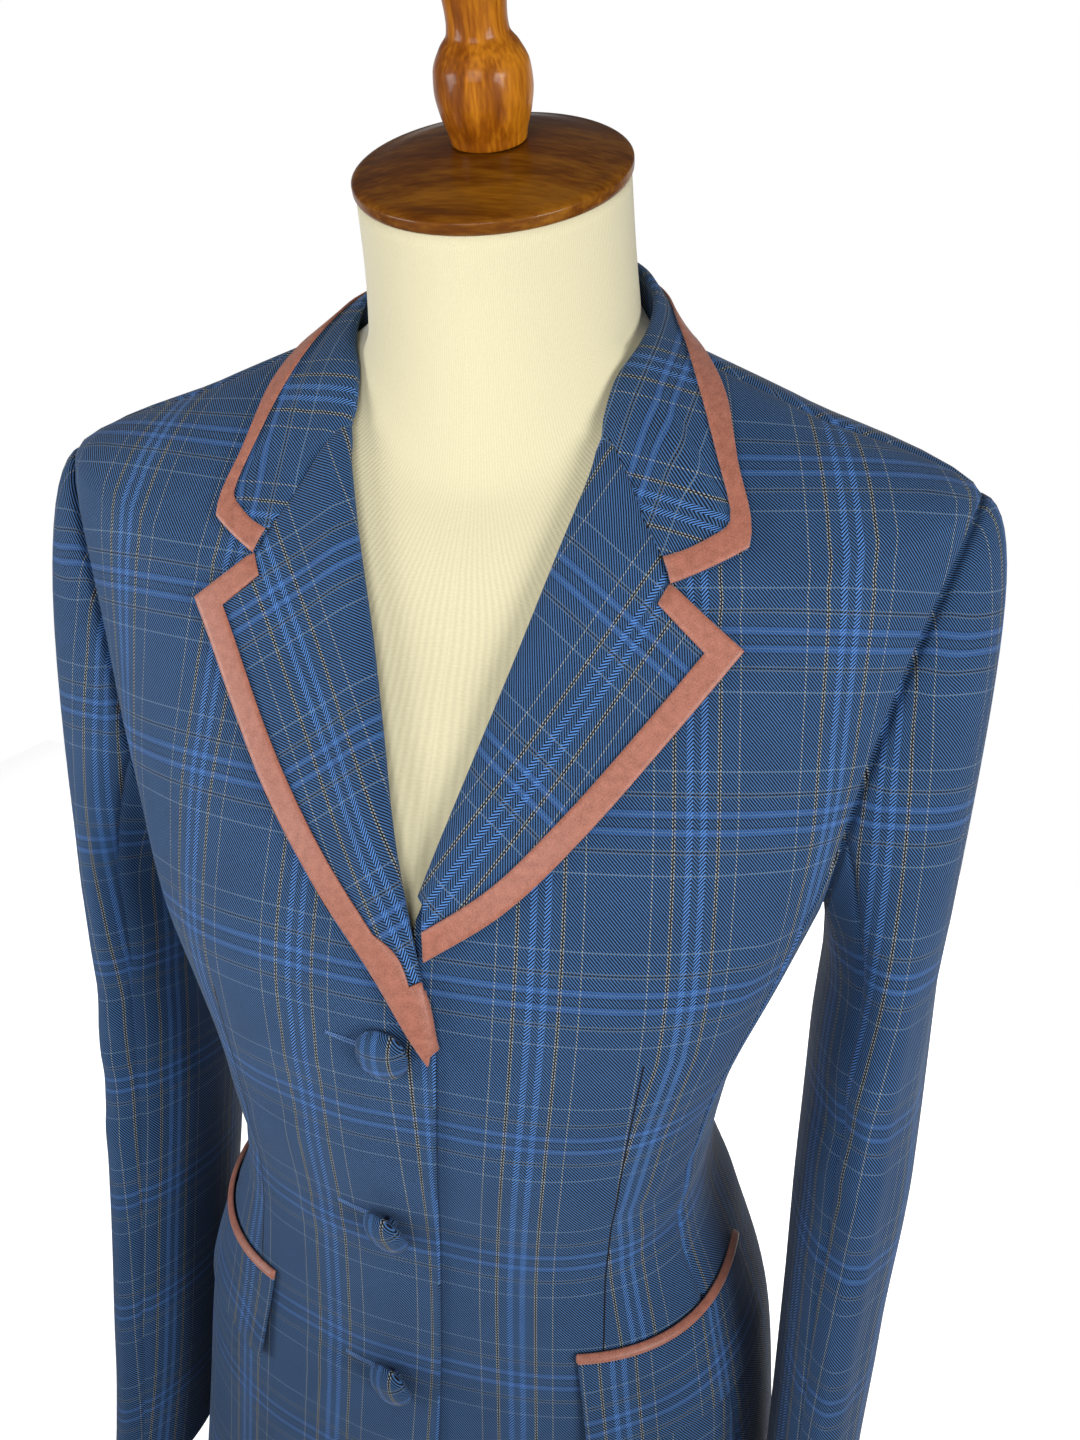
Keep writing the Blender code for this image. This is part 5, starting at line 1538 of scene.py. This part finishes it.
def satin():
    """Rose satin, a little uneven, with a soft shine."""
    graph = new_finish("rose_satin")
    vector, _, _ = graph.flat_uv()
    patch = graph.noise(vector, 260.0, 4.0)
    grain = graph.noise(vector, 1500.0, 2.0)
    tone = graph.weigh(patch, 0.4, grain, 0.6)
    colour = graph.ramp(tone, [(0.3, linear((122, 70, 54))), (0.7, linear((174, 110, 90)))])[0]
    graph.bump(tone, 0.0002, 0.4)
    return graph.set(Base_Color=colour, Roughness=0.46, Sheen_Weight=0.2, Specular_IOR_Level=0.4)


def jersey():
    """Cream jersey with fine ribs that run up the form; its colour follows the ribs' height, so their
    grooves carry painted shade, over random patches.
    """
    rib_width = 0.0021
    loop_height = 0.0016
    graph = new_finish("cream_jersey")
    vector, u, v = graph.flat_uv()
    drift = graph.math("MULTIPLY", graph.noise(vector, 40.0), 0.0008)
    rib = graph.wave(graph.math("ADD", u, drift), rib_width)
    loop = graph.wave(v, loop_height)
    patch = graph.noise(vector, 900.0, 3.0)
    height = graph.math("ADD", graph.weigh(rib, 0.24, loop, 0.06), patch)
    tone = graph.math("MULTIPLY_ADD", height, 0.26, 0.37)
    # painted shade: the ribs' grooves are a little darker in colour, over random patches
    colour = graph.ramp(tone, [(0.25, linear((188, 180, 146))), (0.75, linear((220, 212, 178)))])[0]
    graph.bump(height, 0.00025, 0.5)
    return graph.set(Base_Color=colour, Roughness=0.85, Sheen_Weight=0.6,
                     Sheen_Roughness=0.45, Specular_IOR_Level=0.2)


def wood(name, grain_scale, dark=1.0):
    """Stained and varnished wood, its grain drawn out along one direction."""
    graph = new_finish(name)
    place = graph.add("ShaderNodeTexCoord").outputs["Object"]
    drawn = graph.add("ShaderNodeMapping", place)
    drawn.inputs["Scale"].default_value = grain_scale
    broad = graph.noise(drawn.outputs[0], 9.0, 4.0)
    fine = graph.noise(drawn.outputs[0], 70.0, 5.0)
    tone = graph.weigh(broad, 0.65, fine, 0.35)
    stops = [(0.30, (76, 34, 2)), (0.48, (114, 61, 5)), (0.66, (158, 98, 18))]
    colour = graph.ramp(tone, [(at, linear(np.array(rgb) * dark)) for at, rgb in stops])[0]
    graph.bump(fine, 0.0002, 0.25)
    return graph.set(Base_Color=colour, Roughness=0.4, Specular_IOR_Level=0.1,
                     Coat_Weight=0.2, Coat_Roughness=0.12)


def thread():
    """Blue buttonhole thread, wound closely round the edge; each turn is painted lighter on top and darker
    between, as painted highlight and shade.
    """
    turn_width = 0.0009
    graph = new_finish("buttonhole_thread")
    _, along, _ = graph.flat_uv()
    tone = graph.math("MULTIPLY_ADD", graph.wave(along, turn_width), 0.4, 0.5)
    # painted highlight on each turn of the thread and painted shade between the turns
    colour = graph.ramp(tone, [(0.1, linear((30, 52, 92))), (0.8, linear((92, 132, 186)))])[0]
    graph.bump(tone, 0.0003, 0.7)
    return graph.set(Base_Color=colour, Roughness=0.7)


def make_object(name, points, faces, uvs, material):
    """A smooth mesh in metres, turned outward, with its flat coordinates as UVMap."""
    points = np.asarray(points, float) * MM
    faces = np.asarray(faces, int)
    a, b, c, d = [points[faces[:, k]] for k in range(4)]
    volume = np.einsum("ij,ij->i", a, np.cross(b, c) + np.cross(c, d)).sum()
    if volume < 0.0:
        faces = faces[:, ::-1]
    mesh = bpy.data.meshes.new(name)
    mesh.from_pydata(points.tolist(), [], faces.tolist())
    layer = mesh.uv_layers.new(name="UVMap")
    loops = np.zeros(len(mesh.loops), int)
    mesh.loops.foreach_get("vertex_index", loops)
    layer.data.foreach_set("uv", (np.asarray(uvs, float)[loops] * MM).ravel())
    mesh.shade_smooth()
    mesh.materials.append(material)
    made = bpy.data.objects.new(name, mesh)
    bpy.context.collection.objects.link(made)
    return made


def grid_quads(rows, columns, cells=None):
    """The quads of a grid of points, or those of the chosen cells."""
    if cells is None:
        cells = np.ones((rows - 1, columns - 1), bool)
    i, j = np.nonzero(cells)
    first = i * columns + j
    return np.stack([first, first + 1, first + columns + 1, first + columns], axis=-1)


def ring_quads(rings, steps):
    """The quads between rings of as many points each."""
    index = np.arange(rings * steps).reshape(rings, steps)
    after = np.roll(index, -1, axis=1)
    return np.stack([index[:-1], after[:-1], after[1:], index[1:]], axis=-1).reshape(-1, 4)


def wall(name, outer, inner, flat, material, cells=None):
    """A closed cloth wall between two grids, its cut edges rounded."""
    rows, columns = outer.shape[:2]
    size = rows * columns
    quads = grid_quads(rows, columns, cells)
    edges = np.concatenate([quads[:, [k, (k + 1) % 4]] for k in range(4)])
    keys = edges[:, 0] * size + edges[:, 1]
    back = edges[:, 1] * size + edges[:, 0]
    rim = edges[~np.isin(keys, back)]
    out_points = outer.reshape(-1, 3)
    in_points = inner.reshape(-1, 3)
    middle = (out_points + in_points) / 2.0
    along = np.zeros_like(middle)
    for end in range(2):
        np.add.at(along, rim[:, end], middle[rim[:, 1]] - middle[rim[:, 0]])
    thick = out_points - in_points
    aside = unit(np.cross(along, thick))
    inside = np.zeros_like(middle)
    centre = middle[quads].mean(axis=1)
    np.add.at(inside, quads.ravel(), np.repeat(centre, 4, axis=0) - middle[quads.ravel()])
    aside = aside * -np.sign(np.sum(aside * inside, axis=-1, keepdims=True))
    bulge = middle + aside * np.linalg.norm(thick, axis=-1, keepdims=True) * RIM_BULGE
    points = np.concatenate([out_points, in_points, bulge])
    from_rim, to_rim = rim.T
    faces = np.concatenate([
        quads,
        quads[:, ::-1] + size,
        np.stack([to_rim, from_rim, from_rim + 2 * size, to_rim + 2 * size], axis=-1),
        np.stack([to_rim + 2 * size, from_rim + 2 * size, from_rim + size, to_rim + size], axis=-1),
    ])
    used, faces = np.unique(faces, return_inverse=True)
    uvs = np.concatenate([flat.reshape(-1, 2)] * 3)[used]
    return make_object(name, turned(points[used]), faces.reshape(-1, 4), uvs, material)


def add_cloth(node, points, normals, thickness, flat, material, side="left", cells=None):
    """A cloth piece that stands for its solid."""
    inner = points - normals * thickness
    if side == "right":
        points, inner = mirrored(points), mirrored(inner)
        flat = flat * np.array([-1.0, 1.0])
    made = wall(node + "_cloth", points, inner, flat, material, cells)
    return seated(made, node)


def seated(made, node):
    """Let a piece move with the one body and stand for its solid."""
    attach(made, "root")
    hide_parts(node)
    return made


def add_wool(name, grids, thickness, flat, side, held, rests_on, dart=False):
    """A plaid piece on its flat cut."""
    points, normals = grids
    made = add_cloth(name, points, normals, thickness, flat, plaid(name, CUTS[name], dart), side)


def add_trim(name, grids, cells, flat, rose, side):
    """A satin band on the chosen cells of the piece below."""
    points, normals = grids
    raised = points + normals * (SEAM + SATIN)
    made = add_cloth(name, raised, normals, SATIN, flat, rose, side, cells)


def edge_cells(points):
    """The cells of a piece's grid next to its outer edge, as wide as the trim."""
    cells = np.zeros((points.shape[0] - 1, points.shape[1] - 1), bool)
    cells[:, -TRIM_COLUMNS:] = True
    return cells


def row_near(values, wanted):
    return int(np.argmin(np.abs(values - wanted)))


def add_panels():
    for side in SIDES:
        on_form = (side, "hung", ["form_torso"])
        *grids, u, v = front_panel(side)
        low, waist, high = [row_near(v, row) for row in (HEM_ROW, WAIST_ROW, BREAK_ROW)]
        flat = panel_flat(side, u, v, 0, (low, high))
        flat = moved_to(flat, (waist, 0), -OVERLAP, SECTIONS[WAIST_ROW].z_front)
        add_wool("front_" + side, grids, CLOTH, flat, *on_form, True)
        *grids, u, v = back_panel(side)
        flat = panel_flat(side, u, v, -1, (low, high))
        flat = moved_to(flat, (waist, -1), 0.0, SECTIONS[WAIST_ROW].z_back)
        add_wool("back_" + side, grids, CLOTH, flat, *on_form)
        points, normals = side_panel(side)
        middle = points.shape[1] // 2
        flat = laid_flat(points, (1.0, 1.0), (0, middle), (len(LOWER) - 1, middle))
        flat = moved_to(flat, (0, middle), 0.0, SECTIONS[0].z_side)
        add_wool("side_" + side, (points, normals), CLOTH, flat, *on_form)


def add_sleeves():
    biceps = len(CAP) - 1
    for side in SIDES:
        for kind, grids in zip(("top_sleeve_", "under_sleeve_"), sleeve_pieces(side)):
            points = grids[0]
            middle = points.shape[1] // 2
            flat = laid_flat(points, (-1.0, -1.0), (-1, middle), (biceps, middle), (), biceps)
            flat = moved_to(flat, (-1, middle), 0.0, SLEEVES[-1].z)
            add_wool(kind + side, grids, CLOTH, flat, side, "hung", ["front_" + side, "back_" + side])


def lapel_trim_cells(side, points):
    """The cells under a lapel's trim; at the upper lapel's foot they take in its fold, in steps."""
    cells = edge_cells(points)
    cells[LAPEL_ROWS:, -TRIM_COLUMNS - TIP_COLUMNS:] = True
    if side == UPPER_FRONT:
        closed = round(TRIM_CLOSE_TO * LAPEL_ROWS)
        fold_end = 3 * FOLD_STEPS
        cells[:closed, fold_end:] = True
        for step in range(FOLD_STEPS):
            cells[:closed - step // 2, fold_end - 1 - step] = True
    return cells


def add_lapels(rose):
    for side in SIDES:
        points, normals = lapel(side)
        flat = laid_flat(points, (1.0, 1.0), (LAPEL_UPRIGHT_ROW, -1), (LAPEL_ROWS, -1), (LAPEL_ROWS,))
        flat = moved_to(flat, (LAPEL_ROWS, -1), 0.0, 0.0)
        name = "lapel_" + side
        add_wool(name, (points, normals), LAPEL_CLOTH, flat, side, "folded", ["front_" + side])
        cells = lapel_trim_cells(side, points)
        add_trim("lapel_trim_" + side, (points, normals), cells, flat, rose, side)


def add_collar(rose):
    points, normals = collar()
    centre = len(points) // 2
    neck = round(NECK_CORNER_ALONG / COLLAR_TIP_ALONG * COLLAR_ROWS)
    corners = (centre - COLLAR_ROWS, centre - neck, centre + neck, centre + COLLAR_ROWS)
    flat = laid_flat(points, (-1.0, -1.0), (centre, -1), (centre, 0), corners)
    flat = moved_to(flat, (centre, -1), 0.0, 0.0)
    below = ["front_left", "front_right", "back_left", "back_right"]
    add_wool("collar", (points, normals), LAPEL_CLOTH, flat, "left", "folded", below)
    add_trim("collar_trim", (points, normals), edge_cells(points), flat, rose, "left")


def add_pockets(rose):
    for side in SIDES:
        grids = pocket_flap(side)
        flat = laid_flat(grids[0], (1.0, -1.0), (-1, 0), (0, 0))
        flat = moved_to(flat, (0, 0), 0.0, POCKET_Z)
        below = ["front_" + side, "side_" + side]
        add_wool("pocket_flap_" + side, grids, LAPEL_CLOTH, flat, side, "hung", below)
        outer, inner = pocket_piping(side)
        flat = laid_flat(outer, (1.0, 1.0), (0, 0), (-1, 0))
        if side == "right":
            outer, inner = mirrored(outer), mirrored(inner)
        name = "pocket_piping_" + side
        made = seated(wall(name + "_cloth", outer, inner, flat, rose), name)


def fine_profile(profile, steps):
    """A turned profile with smooth curves through its points."""
    places = np.array(profile, float)
    along = arc_lengths(places, 0)
    at = [np.linspace(*ends, steps, endpoint=False) for ends in zip(along[:-1], along[1:])]
    return smooth_through(along, places, np.append(np.concatenate(at), along[-1]))


def revolve(name, profile, steps, matrix, material):
    """A turned solid from radius and height, placed by a matrix given in millimetres."""
    least_radius = 0.02
    turn = np.arange(steps) * math.tau / steps
    radius = np.maximum(profile[:, 0], least_radius)
    ring = np.stack([np.cos(turn), np.sin(turn)], axis=-1)
    xy = radius[:, None, None] * ring[None]
    z = np.broadcast_to(profile[:, 1][:, None, None], xy.shape[:2] + (1,))
    points = np.concatenate([xy, z], axis=-1).reshape(-1, 3)
    made = make_object(name, points, ring_quads(len(profile), steps), points[:, :2], material)
    place = matrix.copy()
    place.translation = place.translation * MM
    made.matrix_world = place
    return made


def lean_to(direction):
    """The turn that lays the Z axis along a direction."""
    return Vector((0.0, 0.0, 1.0)).rotation_difference(Vector(direction)).to_matrix().to_4x4()


def add_buttons():
    cloth = plaid("button", CUTS["button"], False, BUTTON_TWILL)
    top = fine_profile([(r * BUTTON_RADIUS, h * BUTTON_HEIGHT) for r, h in BUTTON_DOME], DOME_STEPS)
    for number, button in enumerate(BUTTONS):
        z = BUTTON_TOP_Z - number * BUTTON_SPACING
        u, v = front_view(np.array(-BUTTON_X), np.array(z))
        out = mirrored(body_normal(u, v))
        place = turned(mirrored(panel_point(UPPER_FRONT, u, v)))
        tilt = math.radians(button.tilt)
        aside = unit(np.array([-1.0, 0.0, -1.0]))
        aside = unit(aside - out * np.dot(aside, out))
        axis = out * math.cos(tilt) + aside * math.sin(tilt)
        off = BUTTON_RADIUS * math.sin(tilt) + SEAM
        shank = off - SHANK_RADIUS * math.sin(tilt) - SEAM
        foot = np.array([(SHANK_RADIUS, 0.0), (SHANK_RADIUS, -shank), (0.0, -shank)])
        matrix = Matrix.Translation(Vector(place + out * (off - BUTTON_SINK))) @ lean_to(axis)
        name = "button_" + str(number + 1)
        made = revolve(name + "_cloth", np.concatenate([top, foot]), BUTTON_SIDES, matrix, cloth)
        seated(made, name)


def tube(name, path, radius, material):
    """A round thread along a path."""
    along = unit(np.gradient(path, axis=0))
    across = unit(np.cross(along, np.array([0.0, 1.0, 0.0])))
    other = np.cross(along, across)
    turn = np.arange(THREAD_SIDES) * math.tau / THREAD_SIDES
    ring = across[:, None] * np.cos(turn)[None, :, None] + other[:, None] * np.sin(turn)[None, :, None]
    points = (path[:, None] + ring * radius).reshape(-1, 3)
    length = np.repeat(arc_lengths(path, 0), THREAD_SIDES)
    uvs = np.stack([length, np.tile(turn, len(path))], axis=-1)
    made = make_object(name, points, ring_quads(len(path), THREAD_SIDES), uvs, material)
    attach(made, "root")


def add_buttonholes():
    cord = thread()
    bend = np.linspace(-1.0, 1.0, HOLE_POINTS)
    out_and_back = 1.0 - np.abs(bend)
    x = -BUTTON_X + HOLE_START + (HOLE_LENGTH - HOLE_START) * np.minimum(out_and_back * HOLE_END, 1.0)
    rise = HOLE_RISE * out_and_back + HOLE_HALF_GAP * np.sign(bend) * np.abs(bend) ** HOLE_ROUND
    for number in range(len(BUTTONS)):
        u, v = front_view(x, BUTTON_TOP_Z - number * BUTTON_SPACING + rise)
        path = panel_point(UPPER_FRONT, u, v) + body_normal(u, v) * THREAD_RADIUS / 2.0
        tube("buttonhole_" + str(number + 1), turned(mirrored(path)), THREAD_RADIUS, cord)


def add_form():
    rings = turned(form_rings())
    closed = np.concatenate([rings, rings[:, :1]], axis=1)
    bottom = np.broadcast_to(rings[0].mean(axis=0), closed[:1].shape)
    top = np.broadcast_to(rings[-1].mean(axis=0), closed[:1].shape)
    closed = np.concatenate([bottom, closed, top])
    rows, columns = closed.shape[:2]
    across = np.broadcast_to(np.linspace(0.0, FORM_GIRTH, columns)[None, :], (rows, columns))
    uvs = np.stack([across, arc_lengths(closed, 0)], axis=-1).reshape(-1, 2)
    quads = grid_quads(rows, columns)
    made = make_object("form_torso_jersey", closed.reshape(-1, 3), quads, uvs, jersey())
    seated(made, "form_torso")


def add_wood():
    """The turned pieces: neck cap and finial on the leaning neck, pole and base below."""
    cap_wood = wood("cap_wood", (1.2, 9.0, 9.0), 0.84)
    turned_wood = wood("turned_wood", (10.0, 10.0, 1.4), 1.14)
    leaning = Matrix.Rotation(math.radians(SHOULDER_TURN), 4, "Z")
    leaning = leaning @ Matrix.Rotation(math.radians(NECK_TILT), 4, "X")
    cap_top = CAP_PROFILE[0][1] + 2.0 * SEAM
    on_neck, on_cap = [
        Matrix.Translation(Vector(turned(np.array(NECK_TOP) + neck_axis() * height))) @ leaning
        for height in (SEAM, cap_top)
    ]
    pole_length = FORM_BOTTOM_Z - BASE_HEIGHT - 2.0 * SEAM
    pole_profile = np.array([
        (0.0, pole_length),
        (POLE_RADIUS - POLE_EDGE, pole_length),
        (POLE_RADIUS, pole_length - POLE_EDGE),
        (POLE_RADIUS, POLE_EDGE),
        (POLE_RADIUS - POLE_EDGE, 0.0),
        (0.0, 0.0),
    ])
    on_base = Matrix.Translation(Vector((0.0, 0.0, BASE_HEIGHT + SEAM)))
    for name, profile, steps, place, finish in (
        ("neck_cap", fine_profile(CAP_PROFILE, PROFILE_STEPS), CAP_SIDES, on_neck, cap_wood),
        ("finial", fine_profile(FINIAL_PROFILE, PROFILE_STEPS), FINIAL_SIDES, on_cap, turned_wood),
        ("pole", pole_profile, POLE_SIDES, on_base, turned_wood),
        ("base", fine_profile(BASE_PROFILE, PROFILE_STEPS), CAP_SIDES, Matrix.Identity(4), cap_wood),
    ):
        seated(revolve(name + "_wood", profile, steps, place, finish), name)


def add_light(lamp):
    light = bpy.data.lights.new(lamp.name, "AREA")
    light.size = lamp.size
    light.energy = lamp.power
    light.spread = math.radians(lamp.spread)
    made = bpy.data.objects.new(lamp.name, light)
    made.location = lamp.place
    made.rotation_euler = (Vector(lamp.aim) - Vector(lamp.place)).to_track_quat("-Z", "Y").to_euler()
    bpy.context.collection.objects.link(made)


def add_studio():
    """A pale floor that glows a little, a white wall and the lamps."""
    graph = new_finish("studio_floor")
    floor_finish = graph.set(Base_Color=(0.92, 0.92, 0.92, 1.0), Roughness=0.9,
                             Emission_Color=(1.0, 1.0, 1.0, 1.0), Emission_Strength=0.35)
    mesh = bpy.data.meshes.new("studio_floor")
    corners = [(x * FLOOR_REACH, y * FLOOR_REACH, 0.0) for x, y in ((-1, -1), (1, -1), (1, 1), (-1, 1))]
    mesh.from_pydata(corners, [], [(0, 1, 2, 3)])
    mesh.materials.append(floor_finish)
    floor = bpy.data.objects.new("studio_floor", mesh)
    bpy.context.collection.objects.link(floor)
    add_sky()
    bpy.context.scene.view_settings.view_transform = "Standard"
    for lamp in LAMPS:
        add_light(lamp)


def add_sky():
    """A white studio wall behind the coat, and a dim room elsewhere and overhead."""
    graph = Graph(bpy.data.worlds.new("studio"), "Background")
    place = graph.add("ShaderNodeTexCoord").outputs["Generated"]
    facing = graph.add("ShaderNodeVectorMath", place, WALL_WAY, operation="DOT_PRODUCT").outputs["Value"]
    height = graph.add("ShaderNodeSeparateXYZ", place).outputs[2]
    behind, below = [
        graph.add("ShaderNodeMapRange", *values, interpolation_type="SMOOTHSTEP").outputs[0]
        for values in ((facing, *WALL_SIDES, ROOM_LIGHT, 1.0), (height, *WALL_TOP, 1.0, ROOM_LIGHT))
    ]
    strength = graph.math("MINIMUM", behind, below)
    bpy.context.scene.world = graph.set(Color=(1.0, 1.0, 1.0, 1.0), Strength=strength)


def add_camera():
    lens = bpy.data.cameras.new("camera")
    lens.sensor_fit = "VERTICAL"
    lens.sensor_height = CAMERA_SENSOR
    lens.lens = CAMERA_LENS
    lens.clip_start = 0.01
    made = bpy.data.objects.new("camera", lens)
    forward = Vector(CAMERA_FORWARD).normalized()
    up = Vector(CAMERA_UP).normalized()
    right = forward.cross(up).normalized()
    up = right.cross(forward)
    made.matrix_world = Matrix((
        (right.x, up.x, -forward.x, CAMERA_PLACE[0]),
        (right.y, up.y, -forward.y, CAMERA_PLACE[1]),
        (right.z, up.z, -forward.z, CAMERA_PLACE[2]),
        (0.0, 0.0, 0.0, 1.0),
    ))
    bpy.context.collection.objects.link(made)
    bpy.context.scene.camera = made


def main():
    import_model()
    rose = satin()
    add_panels()
    add_sleeves()
    add_lapels(rose)
    add_collar(rose)
    add_pockets(rose)
    add_buttons()
    add_buttonholes()
    add_form()
    add_wood()
    add_studio()
    add_camera()
    bpy.context.view_layer.update()


main()
